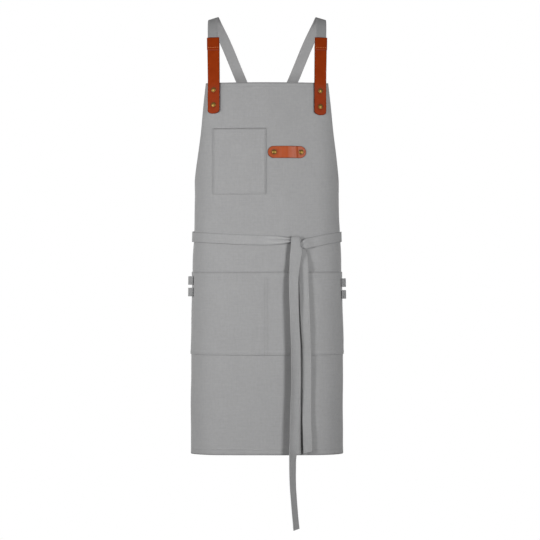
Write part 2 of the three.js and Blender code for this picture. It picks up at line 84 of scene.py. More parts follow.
def smooth(keys, column, at):
    """A table's column at any key: a cubic between rows, whose slope at a row is the weighted
    harmonic mean of the slopes either side, or level where the column turns back."""
    keys, column = np.asarray(keys, float), np.asarray(column, float)
    step = np.diff(keys)
    rise = np.diff(column) / step
    slope = np.concatenate([rise[:1], np.zeros(len(rise) - 1), rise[-1:]])
    on = rise[:-1] * rise[1:] > 0
    before, after = (2 * step[1:] + step[:-1])[on], (step[1:] + 2 * step[:-1])[on]
    slope[1:-1][on] = (before + after) / (before / rise[:-1][on] + after / rise[1:][on])
    at = np.clip(at, keys[0], keys[-1])
    i = np.clip(np.searchsorted(keys, at) - 1, 0, len(step) - 1)
    leave, arrive = slope[i] * step[i], slope[i + 1] * step[i]
    return cubic((at - keys[i]) / step[i], column[i], column[i + 1], leave, arrive)


def place(run, level, lift=0.0):
    """Points of the form: walk the run along three arcs, over the front, round the side and round
    the back, then along the flat of the back, and step outwards by the lift. A run past the
    centre of the back is on the other side."""
    run, level, lift = np.broadcast_arrays(run, level, lift)
    half_width = smooth(FORM_LEVEL, FORM_HALF, level)
    side_radius = (half_width - FRONT_RADIUS * np.sin(FRONT_TURN)) / (1 - np.sin(FRONT_TURN))
    arcs = (
        (FRONT_RADIUS, FRONT_TURN),
        (side_radius, np.pi / 2 - FRONT_TURN),
        (REAR_RADIUS, np.pi / 2),
    )
    girth = 2 * (sum(radius * turn for radius, turn in arcs) + half_width - REAR_RADIUS)
    run = run - girth * np.round(run / girth)
    side, left = np.where(run < 0, -1.0, 1.0), np.abs(run)
    x, y, heading = 0.0, -smooth(FORM_LEVEL, FORM_FRONT, level), 0.0
    for radius, turn in arcs:
        turned = np.minimum(left / radius, turn)
        x = x + radius * (np.sin(heading + turned) - np.sin(heading))
        y = y + radius * (np.cos(heading) - np.cos(heading + turned))
        heading, left = heading + turned, left - turned * radius
    x, y = x - left + lift * np.sin(heading), y - lift * np.cos(heading)
    return np.stack([side * x, y, level], -1)


def unit(vectors):
    return vectors / np.linalg.norm(vectors, axis=-1, keepdims=True)


def square_to(run, level):
    """The way the form faces: across the cloth crossed with up the cloth, from points 1 mm off."""
    across = place(run + 1, level) - place(run - 1, level)
    upwards = place(run, level + 1) - place(run, level - 1)
    return unit(np.cross(across, upwards))


def ease(low, high, value):
    """0 below low, 1 above high, and an S-shaped rise between."""
    share = np.clip((value - low) / (high - low), 0, 1)
    return share * share * (3 - 2 * share)


def bump(value, centre, spread):
    """A bell of height 1 at the centre."""
    return np.exp(-(((value - centre) / spread) ** 2))


def hang(run, level):
    """How far the cloth stands off the smooth form: a sum of long sine swells, a hollow and short
    gathers where the ties draw the waist in, puckers over the knot, slanting drags at the sides of
    the waist, and folds in the free skirt at the back that grow towards the hem."""
    run, level = np.broadcast_arrays(run, level)
    away = np.abs(run)
    swell = sum(
        height * np.sin(2 * np.pi * (across * run + down * level) / 1000 + phase)
        for height, across, down, phase in SWELLS
    )
    drawn = -WAIST_HOLLOW * bump(level, WAIST, HOLLOW_REACH)
    near = np.exp(-np.abs(level - WAIST) / GATHER_REACH)
    gathers = GATHER * np.sin(run / GATHER_WAVE + 0.7 * np.sin(run / 31)) * near
    at_knot = bump(run, KNOT[0], PUCKER_REACH[0]) * bump(level, KNOT[1], PUCKER_REACH[1])
    puckers = PUCKER * at_knot * np.sin((run + 0.6 * level) / PUCKER_WAVE)
    at_side = ease(*DRAG_RUNS, away) * bump(level, WAIST - 20, DRAG_REACH)
    drags = DRAG * at_side * np.sin((away + 0.8 * level) / DRAG_WAVE)
    free = ease(*FREE_LEVELS, level) * ease(*FREE_RUNS, away)
    folds = REAR_FOLD * free * np.sin(away / FOLD_WAVE + 0.5 * np.sin(level / 140) + 0.4)
    return swell * (1 - free) + drawn + gathers + puckers + drags + folds


def panel_half(level):
    """Half the cut's width at a level: the bib's, a straight flare, and a power curve down the
    armhole."""
    drop = np.clip(BIB_TOP - level, 0, ARMHOLE_DEPTH)
    curve = PANEL_HALF - BIB_HALF - ARMHOLE_FLARE * ARMHOLE_DEPTH
    return BIB_HALF + ARMHOLE_FLARE * drop + curve * (drop / ARMHOLE_DEPTH) ** ARMHOLE_POWER


def dipped(run, level):
    """A level of the cut as it hangs: lower towards the rear corners by the square of the share of
    the half width, and most at the hem."""
    armhole_foot = BIB_TOP - ARMHOLE_DEPTH
    down = np.clip((armhole_foot - level) / (armhole_foot - HEM), 0, 1)
    return level - HEM_DIP * down * (run / panel_half(level)) ** 2


def armhole_lean(level):
    """How much longer a hem's depth is along the run than square to the armhole, from the slope
    between 12 mm above and 12 mm below."""
    slope = (panel_half(level - 12) - panel_half(np.minimum(level + 12, BIB_TOP))) / 24
    return np.sqrt(1 + slope**2)


def rounded(inside, radius):
    """Share of a wall's thickness at a distance inside its edge: a quarter circle, never under a
    fifth."""
    return np.maximum(np.sqrt(1 - (1 - np.clip(inside / radius, 0, 1)) ** 2), 0.2)


def make_piece(name, points, quads, uv, material, **values):
    """A smooth-shaded object of those quads, turned about where they enclose a negative volume,
    with a UV map in metres along the cut and any named value at each point."""
    corner = points[quads]
    normals = np.cross(corner[:, 1], corner[:, 2]) + np.cross(corner[:, 2], corner[:, 3])
    quads = quads if np.sum(corner[:, 0] * normals) > 0 else quads[:, ::-1]
    mesh = bpy.data.meshes.new(name)
    mesh.vertices.add(len(points))
    mesh.vertices.foreach_set("co", (points / 1000).astype(np.float32).ravel())
    mesh.loops.add(quads.size)
    mesh.loops.foreach_set("vertex_index", quads.astype(np.int32).ravel())
    mesh.polygons.add(len(quads))
    mesh.polygons.foreach_set("loop_start", np.arange(0, quads.size, 4, dtype=np.int32))
    mesh.update(calc_edges=True)
    cut = mesh.uv_layers.new(name="cut")
    cut.data.foreach_set("uv", (uv[quads.ravel()] / 1000).astype(np.float32).ravel())
    for key, value in values.items():
        attribute = mesh.attributes.new(key, "FLOAT", "POINT")
        attribute.data.foreach_set("value", value.astype(np.float32).ravel())
    mesh.shade_smooth()
    mesh.materials.append(material)
    made = bpy.data.objects.new(name, mesh)
    bpy.context.scene.collection.objects.link(made)
    return made


def make_wall(name, outer, inner, cut, material, **values):
    """A closed wall: an outer and an inner grid, joined round their rims, which share their places
    on the cut and their values."""
    rows, columns = outer.shape[:2]
    index = np.arange(rows * columns).reshape(rows, columns)
    face = np.stack([index[:-1, :-1], index[1:, :-1], index[1:, 1:], index[:-1, 1:]], -1)
    face = face.reshape(-1, 4)
    rim = np.concatenate([index[0, :-1], index[:-1, -1], index[-1, :0:-1], index[:0:-1, 0]])
    onward, under = np.roll(rim, -1), rows * columns
    joins = np.stack([rim, onward, onward + under, rim + under], -1)
    quads = np.concatenate([face, face[:, ::-1] + under, joins])
    points = np.concatenate([outer.reshape(-1, 3), inner.reshape(-1, 3)])
    uv = np.tile(cut.reshape(-1, 2), (2, 1))
    values = {key: np.tile(value.ravel(), 2) for key, value in values.items()}
    return make_piece(name, points, quads, uv, material, **values)


def attach(slot, node, made, *stitches):
    """Puts a piece and its stitches on the part's one body. The piece takes the place of a solid,
    which is hidden. The slot is not used."""
    for piece in (made, *stitches):
        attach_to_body(piece, "root")
    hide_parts(node)


def add_node(tree, kind, inputs=None, **settings):
    """A shader node with its settings; each input is a value or the socket that feeds it."""
    made = tree.nodes.new(kind)
    for key, value in settings.items():
        setattr(made, key, value)
    for key, value in (inputs or {}).items():
        if isinstance(value, bpy.types.NodeSocket):
            tree.links.new(value, made.inputs[key])
        else:
            made.inputs[key].default_value = value
    return made


def calc(tree, operation, *terms):
    """The output of a Math node on those terms."""
    return add_node(tree, "ShaderNodeMath", dict(enumerate(terms)), operation=operation).outputs[0]


def mixed(tree, share, low, high):
    """The colour between two colours."""
    return add_node(tree, "ShaderNodeMix", {0: share, 6: low, 7: high}, data_type="RGBA").outputs[2]


def noise(tree, vector, scale, detail=2.0, roughness=0.5):
    """The value of a noise texture."""
    inputs = {"Vector": vector, "Scale": scale, "Detail": detail, "Roughness": roughness}
    return add_node(tree, "ShaderNodeTexNoise", inputs).outputs[0]


def stretched(tree, vector, x, y):
    """A vector scaled along the cloth's two ways."""
    return add_node(tree, "ShaderNodeMapping", {"Vector": vector, "Scale": (x, y, 1)}).outputs[0]


def at_points(tree, name):
    """A named value that the mesh gives at its points."""
    return add_node(tree, "ShaderNodeAttribute", attribute_name=name).outputs["Fac"]


def on_cut(tree):
    """The place on the cut, in metres."""
    return add_node(tree, "ShaderNodeUVMap", uv_map="cut").outputs[0]


def new_material(name):
    """A material, its nodes, and its shader's inputs."""
    material = bpy.data.materials.new(name)
    material.use_nodes = True
    tree = material.node_tree
    return material, tree, tree.nodes["Principled BSDF"].inputs


def dress(tree, shader, colour, roughness, height, strength, distance):
    """Feeds a shader its colour, its roughness, and normals from a height times a distance."""
    relief = {"Height": height, "Strength": strength, "Distance": distance}
    tree.links.new(colour, shader["Base Color"])
    tree.links.new(roughness, shader["Roughness"])
    tree.links.new(add_node(tree, "ShaderNodeBump", relief).outputs[0], shader["Normal"])


def new_group(name, inputs, outputs):
    """A shader node group with those sockets, and its input and output nodes."""
    tree = bpy.data.node_groups.new(name, "ShaderNodeTree")
    for key, kind in inputs.items():
        tree.interface.new_socket(key, in_out="INPUT", socket_type=kind)
    for key in outputs:
        tree.interface.new_socket(key, in_out="OUTPUT", socket_type="NodeSocketFloat")
    return tree, tree.nodes.new("NodeGroupInput").outputs, tree.nodes.new("NodeGroupOutput").inputs


def make_twill():
    """Two-up-one-down twill: round warp threads, sin of the distance across each, that give way
    to the weft where the warp and weft counts add to a multiple of three. Slubs are noise drawn
    out along each set of threads, and a broad noise mottles the dye."""
    sockets = {"Cut": "NodeSocketVector", "Threads": "NodeSocketFloat"}
    tree, given, wanted = new_group("twill weave", sockets, ("Shade", "Height"))
    scaling = {0: given["Cut"], "Scale": given["Threads"]}
    counted = add_node(tree, "ShaderNodeVectorMath", scaling, operation="SCALE").outputs[0]
    thread = add_node(tree, "ShaderNodeSeparateXYZ", {0: counted}).outputs
    waves = (calc(tree, "SINE", calc(tree, "MULTIPLY", thread[way], np.pi)) for way in "XY")
    warp, weft = (calc(tree, "ABSOLUTE", wave) for wave in waves)
    count = calc(tree, "ADD", calc(tree, "FLOOR", thread["X"]), calc(tree, "FLOOR", thread["Y"]))
    warp_up = calc(tree, "GREATER_THAN", calc(tree, "FLOORED_MODULO", count, 3.0), 0.5)
    woven = add_node(tree, "ShaderNodeMix", {0: warp_up, 2: weft, 3: warp}).outputs[0]
    along_warp = noise(tree, stretched(tree, given["Cut"], 700, 24), 1.0, 3.0)
    along_weft = noise(tree, stretched(tree, given["Cut"], 24, 700), 1.0, 3.0)
    slub = calc(tree, "ADD", along_warp, along_weft)
    dye = calc(tree, "MULTIPLY", noise(tree, given["Cut"], 26.0, 4.0, 0.6), 0.4)
    heather = calc(tree, "MULTIPLY", noise(tree, given["Cut"], 140.0, 2.0, 0.6), 0.6)
    cloudy = calc(tree, "ADD", dye, heather)
    shade = calc(tree, "MULTIPLY_ADD", slub, 0.55, cloudy)
    shade = calc(tree, "ADD", shade, calc(tree, "MULTIPLY_ADD", woven, 0.3, -0.72))
    tree.links.new(shade, wanted["Shade"])
    tree.links.new(calc(tree, "MULTIPLY_ADD", slub, 0.6, woven), wanted["Height"])
    return tree


TWILL = make_twill()


def make_cloth(name, dark, light, threads, relief):
    """Cotton cloth: the twill group shades the dye, roughens it and raises the threads. A value at
    each point paints shade onto edges and seams, standing in for the shade that falls there,
    and where that value is below 0 it paints a highlight instead."""
    material, tree, shader = new_material(name)
    sockets = {"Cut": on_cut(tree), "Threads": threads}
    woven = add_node(tree, "ShaderNodeGroup", sockets, node_tree=TWILL).outputs
    dyed = mixed(tree, woven["Shade"], dark, light)
    # Painted shade: the dye is mixed towards a dark grey by the value at each point; where that value
    # is below 0 the mix goes the other way and paints a highlight
    hang_and_painted_shade = {0: at_points(tree, "crease"), 6: dyed, 7: PAINTED_SHADE_GREY}
    hang_and_painted_shade = add_node(tree, "ShaderNodeMix", hang_and_painted_shade, data_type="RGBA", clamp_factor=False).outputs[2]
    roughness = calc(tree, "MULTIPLY_ADD", woven["Shade"], -0.12, 0.94)
    dress(tree, shader, hang_and_painted_shade, roughness, woven["Height"], relief, 0.0004)
    shader["Specular IOR Level"].default_value = 0.25
    shader["Sheen Weight"].default_value = 0.08
    shader["Sheen Roughness"].default_value = 0.5
    return material


PLY_TWIST = 9000.0  # radians a metre


def make_thread(name, dark, light):
    """Sewing thread: two plies twisted together, as slanting stripes along the stitch."""
    material, tree, shader = new_material(name)
    along = add_node(tree, "ShaderNodeSeparateXYZ", {0: on_cut(tree)}).outputs
    slant = calc(tree, "MULTIPLY", calc(tree, "ADD", along[0], along[1]), PLY_TWIST)
    ply = calc(tree, "MULTIPLY_ADD", calc(tree, "SINE", slant), 0.5, 0.5)
    roughness = calc(tree, "MULTIPLY_ADD", ply, -0.1, 0.75)
    dress(tree, shader, mixed(tree, ply, dark, light), roughness, ply, 0.4, 0.0001)
    return material


def strides(points):
    """The distance from each point of a line to the next."""
    return np.linalg.norm(np.diff(points, axis=0), axis=1)


def lengths(points):
    """How far along a line each of its points is."""
    return np.concatenate([[0], np.cumsum(strides(points))])


STITCH_PITCH, STITCH_LENGTH, THREAD = 3.4, 2.5, 0.55
STITCH_ENDS = np.array([(-0.5, 0.45), (-0.34, 1.0), (0.34, 1.0), (0.5, 0.45)])  # along, thickness


def along_line(lines, reach, at):
    """The rows of a line at lengths along it."""
    return np.stack([np.interp(at, reach, column) for column in lines.T], -1)


def sew(name, seams, material, size=1.0):
    """Stitches along seams, each a line of points with the ways it faces. A stitch is a hexagonal
    rod that narrows at both ends, set down at even lengths along the line and half sunk in it."""
    sides = np.radians(np.arange(6) * 60)
    along, thick = STITCH_ENDS[:, :1] * STITCH_LENGTH, STITCH_ENDS[:, 1:] * THREAD / 2
    rod = np.stack([along + 0 * sides, thick * np.cos(sides), 1.3 * thick * np.sin(sides)], -1)
    rod = rod.reshape(-1, 3) * size
    ring = np.arange(24).reshape(4, 6)
    turn = np.roll(ring, -1, axis=1)
    tube = np.stack([ring[:-1], turn[:-1], turn[1:], ring[1:]], -1).reshape(-1, 4)
    first, last = ring[0], ring[3]
    ends = [first[[3, 2, 1, 0]], first[[0, 5, 4, 3]], last[[0, 1, 2, 3]], last[[3, 4, 5, 0]]]
    shape = np.concatenate([tube, ends])
    centres, frames = [], []
    for points, facing in seams:
        reach = lengths(points)
        count = max(1, int(reach[-1] / (STITCH_PITCH * size)))
        at = (np.arange(count) + 0.5) * reach[-1] / count
        onward = unit(along_line(points, reach, at + 0.8) - along_line(points, reach, at - 0.8))
        across = unit(np.cross(along_line(facing, reach, at), onward))
        centres.append(along_line(points, reach, at))
        frames.append(np.stack([onward, across, np.cross(onward, across)], 1))
    centres, frames = np.concatenate(centres), np.concatenate(frames)
    points = centres[:, None] + np.einsum("vk,nkx->nvx", rod, frames)
    quads = shape + 24 * np.arange(len(centres))[:, None, None]
    around = np.stack([rod[:, 0], np.tile(sides * THREAD / 2, 4)], -1)
    uv = around + np.arange(len(centres))[:, None, None] * np.array([STITCH_PITCH, 0])
    return make_piece(name, points.reshape(-1, 3), quads.reshape(-1, 4), uv.reshape(-1, 2), material)


def seam_on_form(run, level, lift):
    """A line on the cloth as points and the ways they face; a negative lift is on the inside."""
    return place(run, level, lift + hang(run, level)), square_to(run, level)


def hemmed(start, start_hem, end, end_hem, lines, count):
    """Places from one finished edge to the other: at shares of the depth in both hems, and at even
    steps between them."""
    first, last = start + start_hem * lines, end - end_hem * lines[::-1]
    return np.concatenate([first, np.linspace(first[-1], last[0], count)[1:-1], last])


# Distances from a finished edge, as shares of the hem's depth, where the grid has a line
HEM_LINES = np.array([
    0, 0.02, 0.05, 0.1, 0.2, 0.34, 0.5, 0.64, 0.72, 0.8, 0.88, 0.96, 1.01, 1.07, 1.2, 1.5,
])
PANEL_ROWS, PANEL_COLUMNS = 165, 124  # between the hems
levels = hemmed(BIB_TOP, -TOP_HEM, HEM, -BOTTOM_HEM, HEM_LINES, PANEL_ROWS)[:, None]
half, lean = panel_half(levels), armhole_lean(levels)
inset = SIDE_HEM * HEM_LINES * lean
middle = np.linspace(-1, 1, PANEL_COLUMNS)[1:-1] * (half - inset[:, -1:])
runs = np.concatenate([inset - half, middle, half - inset[:, ::-1]], axis=1)
to_side, to_top, to_bottom = (half - np.abs(runs)) / lean, BIB_TOP - levels, levels - HEM
in_hem = np.minimum(to_side / SIDE_HEM, np.minimum(to_top / TOP_HEM, to_bottom / BOTTOM_HEM))
inside = np.minimum(to_side, np.minimum(to_top, to_bottom))
fold = 1 - ease(0.95, 1.05, in_hem)
sunk = bump(in_hem, HEM_STITCH, 0.1)
lowered = dipped(runs, levels)
hang_and_painted_shade = hang(runs, lowered)
edge = rounded(inside, 1.0)
front = place(runs, lowered, edge * (CLOTH / 2 + HEM_RISE * fold) - STITCH_DIP * sunk + hang_and_painted_shade)
back = place(runs, lowered, -edge * (CLOTH / 2 + HEM_LAYER * fold) + INSIDE_DIP * sunk + hang_and_painted_shade)
twill = make_cloth("grey cotton twill", GREY_DARK, GREY_LIGHT, threads=1700.0, relief=0.35)
# Painted shade: the cloth is darkened along its top and bottom edges, its sides and its stitch lines,
# standing in for the shade at the folded edges and seams
crease = PAINTED_EDGE_SHADE * bump(np.minimum(to_top, to_bottom), 1.2, 1.7)
crease = np.maximum(crease, PAINTED_SIDE_SHADE * bump(to_side, 1.0, 1.5))
crease = np.maximum(crease, PAINTED_SEAM_SHADE * sunk)
panel = make_wall("panel", front, back, np.stack([runs, lowered], -1), twill, crease=crease)

thread = make_thread("grey sewing thread", (0.25, 0.25, 0.253, 1), (0.36, 0.36, 0.363, 1))
down = np.linspace(BIB_TOP - HEM_STITCH * TOP_HEM, HEM + HEM_STITCH * BOTTOM_HEM, 400)
edge_run = panel_half(down) - HEM_STITCH * SIDE_HEM * armhole_lean(down)
lines = [(side * edge_run, down) for side in (-1, 1)]
lines += [(np.linspace(-edge_run[end], edge_run[end], 300), down[end]) for end in (0, -1)]
seams = [seam_on_form(run, dipped(run, level), lift) for run, level in lines for lift in SEAM_LIFTS]
panel_stitches = sew("panel_stitches", seams, thread)
attach("cloth", "apron_panel", panel, panel_stitches)


# The bib pocket: a patch of the same twill on the wearer's right of the bib, its sides and foot
# turned under and sewn to the panel close to the edge. The mouth has a deeper hem and stands a
# little open.
ON_PANEL = CLOTH / 2 + 0.4
POCKET_CORNER = 5.0
POCKET_LINES = np.array([0, 0.03, 0.08, 0.16, 0.3, 0.42, 0.5, 0.58, 0.7, 0.85, 1.0, 1.15, 1.4])
POCKET_TURN = 9.0  # depth of the turned edge
POCKET_SAG = 0.1  # share of the belly
# The last is the strength of the painted shade along the divider
TURN_RISE, POCKET_DIP, DIVIDER_DIP, PAINTED_DIVIDER_SHADE = 0.5, 0.4, 0.2, 0.13
MOUTH_STITCH = 0.85  # share of the mouth's hem
SEAM_RISE, DIVIDER_RISE = 0.1, -0.15  # above a single layer of cloth


def make_pocket(
    name, left, right, top, bottom, mouth_hem, sewn, shade, seam_painted_shade, fullness, compartments,
    dividers, columns, rows,
):
    """A patch over the panel: runs by levels, its lift being its belly, the turned edges' second
    layer, and the dips along its stitches, which run at a sewn share of the turned edge. The
    foot's corners are drawn in by a quarter circle, and the mouth sags a little where the belly
    is full. Painted shade darkens the cloth along the mouth and along the seams by their shades,
    standing in for the shade at the mouth's edge and the stitch lines."""

    def settled(run, level):
        """The belly at a place on the patch, and the level that the place sags to. The belly grows
        evenly from the foot up, by the square of half a sine across each compartment."""
        openness = (level - bottom) / (top - bottom)
        across = np.interp(run, compartments, np.arange(len(compartments)))
        belly = fullness * np.sin(np.pi * across) ** 2 * openness
        return belly, level - POCKET_SAG * belly * openness**3

    levels = hemmed(top, -mouth_hem, bottom, -POCKET_TURN, POCKET_LINES, rows)[:, None]
    above = np.clip(levels - bottom, 0, POCKET_CORNER)
    drawn_in = POCKET_CORNER - np.sqrt(POCKET_CORNER**2 - (POCKET_CORNER - above) ** 2)
    shares = hemmed(left, POCKET_TURN, right, POCKET_TURN, POCKET_LINES, columns)
    runs = (shares - (left + right) / 2) * (1 - 2 * drawn_in / (right - left)) + (left + right) / 2
    to_side = np.minimum(shares - left, right - shares) + 0 * levels
    to_mouth, to_foot = top - levels, levels - bottom
    in_turn = np.minimum(to_side, to_foot) / POCKET_TURN
    inside = np.minimum(np.minimum(to_side, to_foot), to_mouth)
    fold = 1 - ease(0.9, 1.1, in_turn)
    mouth = 1 - ease(0.95, 1.05, to_mouth / mouth_hem)
    sunk = np.maximum(bump(in_turn, sewn, 0.12), bump(to_mouth / mouth_hem, MOUTH_STITCH, 0.07))
    divided = sum(bump(runs, run, 1.2) for run in dividers) * ease(0.8, 0.9, to_mouth / mouth_hem)
    belly, sagged = settled(runs, levels)
    lift = ON_PANEL + belly + hang(runs, sagged)
    thick = rounded(inside, 1.0) * (CLOTH + TURN_RISE * np.maximum(fold, mouth))
    outer = lift + thick - POCKET_DIP * sunk - DIVIDER_DIP * divided
    outer, inner = place(runs, sagged, outer), place(runs, sagged, lift)
    # Painted shade along the mouth, along the turned edges' stitches and along the divider
    crease = np.maximum(shade * bump(to_mouth, 1.0, 1.9), seam_painted_shade * bump(in_turn, sewn, 0.13))
    crease = np.maximum(crease, PAINTED_DIVIDER_SHADE * divided)
    made = make_wall(name, outer, inner, np.stack([runs, sagged], -1), twill, crease=crease)

    def line(run, level, rise=SEAM_RISE):
        """A seam on the pocket's face at that line, a rise above a single layer of cloth."""
        belly, level = settled(run, level)
        return seam_on_form(run, level, ON_PANEL + CLOTH + rise + belly)

    in_edge = POCKET_TURN * sewn
    foot, mouth_line = bottom + in_edge, top - MOUTH_STITCH * mouth_hem
    down, over = np.linspace(top - 1, foot, 200), np.linspace(left + in_edge, right - in_edge, 400)
    sides = [(left + in_edge, down), (right - in_edge, down), (over, foot)]
    divides = [(run, np.linspace(mouth_line, foot, 200)) for run in dividers]
    seams = [line(*at) for at in sides + [(over, mouth_line)]]
    seams += [line(*at, DIVIDER_RISE) for at in divides]
    seams += [seam_on_form(*at, -CLOTH / 2 - SEAM_RISE) for at in sides + divides]
    return made, sew(name + "_stitches", seams, thread)


BIB_POCKET = {"left": -125.5, "right": -2.3, "top": -263.0, "bottom": -416.0}
bib_pocket, bib_pocket_stitches = make_pocket(
    "bib_pocket_cloth", **BIB_POCKET, mouth_hem=16.0, sewn=0.27, shade=0.42, seam_painted_shade=0.14,
    fullness=3.0, compartments=(BIB_POCKET["left"], BIB_POCKET["right"]), dividers=(), columns=40,
    rows=44,
)
attach("cloth", "bib_pocket", bib_pocket, bib_pocket_stitches)


# The skirt pocket: one wide patch across the hips, sewn down its middle by a double row of
# stitches, so that it makes two compartments. Its sides, foot and mouth are like the bib pocket's.
SKIRT_POCKET = {"left": -249.2, "right": 249.2, "top": -594.0, "bottom": -786.0}
skirt_pocket, skirt_pocket_stitches = make_pocket(
    "skirt_pocket_cloth", **SKIRT_POCKET, mouth_hem=18.0, sewn=0.3, shade=0.3, seam_painted_shade=0.06,
    fullness=2.5, compartments=(-178.0, -3.5, 178.0), dividers=(-5.2, 1.6), columns=220, rows=50,
)
attach("cloth", "skirt_pocket", skirt_pocket, skirt_pocket_stitches)


# Four tape loops, one above the other at each side of the skirt: short lengths of woven cotton
# tape sewn flat at both feet over the pocket's edge and arched off it between them.
TAPE = 1.4
SIDE_LOOP_WIDTH, SIDE_LOOP_START, SIDE_LOOP_END, SIDE_LOOP_FOOT = 20.0, 194.0, 248.0, 12.0
SIDE_LOOP_SEAT, SIDE_LOOP_BOW, SIDE_LOOP_FULLNESS = 1.3, 6.21, 0.8  # off the pocket; arch; power
SIDE_LOOP_STITCH = 3.0  # in from each end
SELVEDGE_RISE, SELVEDGE_AT = 0.22, 0.88  # shares of the thickness and of the half width
SIDE_LOOPS = (
    ("left_upper", -1, -614.5),
    ("left_lower", -1, -641.5),
    ("right_upper", 1, -619.5),
    ("right_lower", 1, -647.0),
)
TAPE_ACROSS = -np.cos(np.linspace(0, np.pi, 25))  # from edge to edge, close together at both
TAPE_DARK, TAPE_LIGHT = (0.245, 0.245, 0.247, 1), (0.315, 0.315, 0.318, 1)
tape_cloth = make_cloth("grey cotton tape", TAPE_DARK, TAPE_LIGHT, threads=1250.0, relief=0.5)


def band(points, facing, width, outer, inner, across=TAPE_ACROSS):
    """Outer and inner grids of a band along a path. Each cross-section lies square to the path,
    across its width from -1 to 1, and stands out by the outer and inner heights."""
    along = unit(np.gradient(points, axis=0))
    sideways = unit(np.cross(along, facing))
    out = np.cross(sideways, along)
    half_width = np.broadcast_to(width, len(points))[:, None] / 2
    base = points[:, None] + sideways[:, None] * (across * half_width)[..., None]
    return base + out[:, None] * outer[..., None], base + out[:, None] * inner[..., None]


def tape_heights(count, thickness):
    """Half the thickness at each place across a tape: a woven selvedge stands up near each edge,
    and the edge itself is round, never under a fifth."""
    across = np.abs(TAPE_ACROSS)
    selvedge = 1 + SELVEDGE_RISE * bump(across, SELVEDGE_AT, 0.09)
    edge = np.maximum((1 - across**26) ** 0.5, 0.2)
    return np.broadcast_to(thickness / 2 * selvedge * edge, (count, len(across)))


def band_cut(points, width, across=TAPE_ACROSS):
    """The place across the tape and along it."""
    return np.stack(np.broadcast_arrays(across * width / 2, lengths(points)[:, None]), -1)


def seam_across(grid, facing, row, margin):
    """A seam across a band at one of its rows, some columns in from both edges."""
    line = grid[row, margin:-margin]
    return line, np.broadcast_to(facing[row], line.shape)


run = np.linspace(SIDE_LOOP_START, SIDE_LOOP_END, 90)
free = SIDE_LOOP_END - SIDE_LOOP_START - 2 * SIDE_LOOP_FOOT
share = np.clip((run - SIDE_LOOP_START - SIDE_LOOP_FOOT) / free, 0, 1)
arch = SIDE_LOOP_BOW * np.sin(np.pi * share) ** SIDE_LOOP_FULLNESS
lift = ON_PANEL + CLOTH + TAPE / 2 + SIDE_LOOP_SEAT + arch
sewn_at = (SIDE_LOOP_START + SIDE_LOOP_STITCH, SIDE_LOOP_END - SIDE_LOOP_STITCH)
rows = [np.argmin(np.abs(run - at)) for at in sewn_at]
height = tape_heights(len(run), TAPE)
for name, side, level in SIDE_LOOPS:
    line = place(side * run, level, lift + hang(side * run, level))
    facing = square_to(side * run, level)
    outer, inner = band(line, facing, SIDE_LOOP_WIDTH, height, -height)
    cut = band_cut(line, SIDE_LOOP_WIDTH)
    loop = make_wall("tape_loop_" + name, outer, inner, cut, tape_cloth)
    seams = [seam_across(outer, facing, row, 3) for row in rows]
    loop_stitches = sew("tape_loop_stitches_" + name, seams, thread)
    attach("cloth_tape", "side_loop_" + name, loop, loop_stitches)


# The shoulder straps: woven cotton tape from under each leather end, over the shoulder, across
# the back over or under the other strap, and sewn inside the panel's far rear corner.
STRAP_WIDTH, STRAP_RUN, STRAP_CROSSING_LIFT, STRAP_END_LIFT = 25.0, 124.0, 1.3, -5.2
STRAP_CUP, STRAP_WAVE = 0.35, 0.12
# The tape's middle line, the way its outer face looks, and its share of the crossing's lift
STRAP_ROWS = np.array([
    (125.6, -54.5, -79, 0.33, -0.85, 0.34, 0),
    (126.6, -38, -42, 0.31, -0.72, 0.6, 0),
    (127, -18, -11, 0.28, -0.42, 0.87, 0),
    (126, 0, 0.7, 0.276, 0, 0.961, 0),
    (119.5, 21, -11, 0.24, 0.45, 0.85, 0),
    (98, 55, -53, 0.12, 0.83, 0.5, 0),
    (61.5, 82, -139, 0.05, 0.97, 0.2, 0.5),
    (0, 93, -279, 0, 1, 0.03, 1),
    (-57, 88, -400, -0.12, 0.99, -0.06, 0.5),
    (-75, 77.3, -440, -0.36, 0.93, -0.06, 0),
])
STRAP_ENDS = np.array([(-354.0, -480.0), (-338.0, -514.0)])  # run, level
STRAP_NAMES = (("left", -1), ("right", 1))


def through(rows, at):
    """A curve through rows, read at row numbers: on each stretch a cubic whose end slopes are
    centripetal Catmull-Rom's, which weigh a stretch by the root of its length."""
    rows = np.concatenate([2 * rows[:1] - rows[1:2], rows, 2 * rows[-1:] - rows[-2:-1]])
    i = np.clip(np.floor(at).astype(int), 0, len(rows) - 4)
    share = (at - i)[:, None]
    a, b, c, d = (rows[i + k] for k in range(4))
    steps = (b - a, c - b, d - c)
    ab, bc, cd = (np.sqrt(np.linalg.norm(step, axis=1, keepdims=True)) for step in steps)
    bc = np.where(bc < 0.01, 1.0, bc)
    ab, cd = np.where(ab < 0.01, bc, ab), np.where(cd < 0.01, bc, cd)
    leave = bc * ((b - a) / ab - (c - a) / (ab + bc) + (c - b) / bc)
    arrive = bc * ((c - b) / bc - (d - b) / (bc + cd) + (d - c) / cd)
    return cubic(share, b, c, leave, arrive)


def even_steps(rows, count):
    """Row numbers at even lengths along the curve through those rows."""
    fine = np.linspace(0, len(rows) - 1, 4000)
    reach = lengths(through(rows, fine))
    return np.interp(np.linspace(0, reach[-1], count), reach, fine)


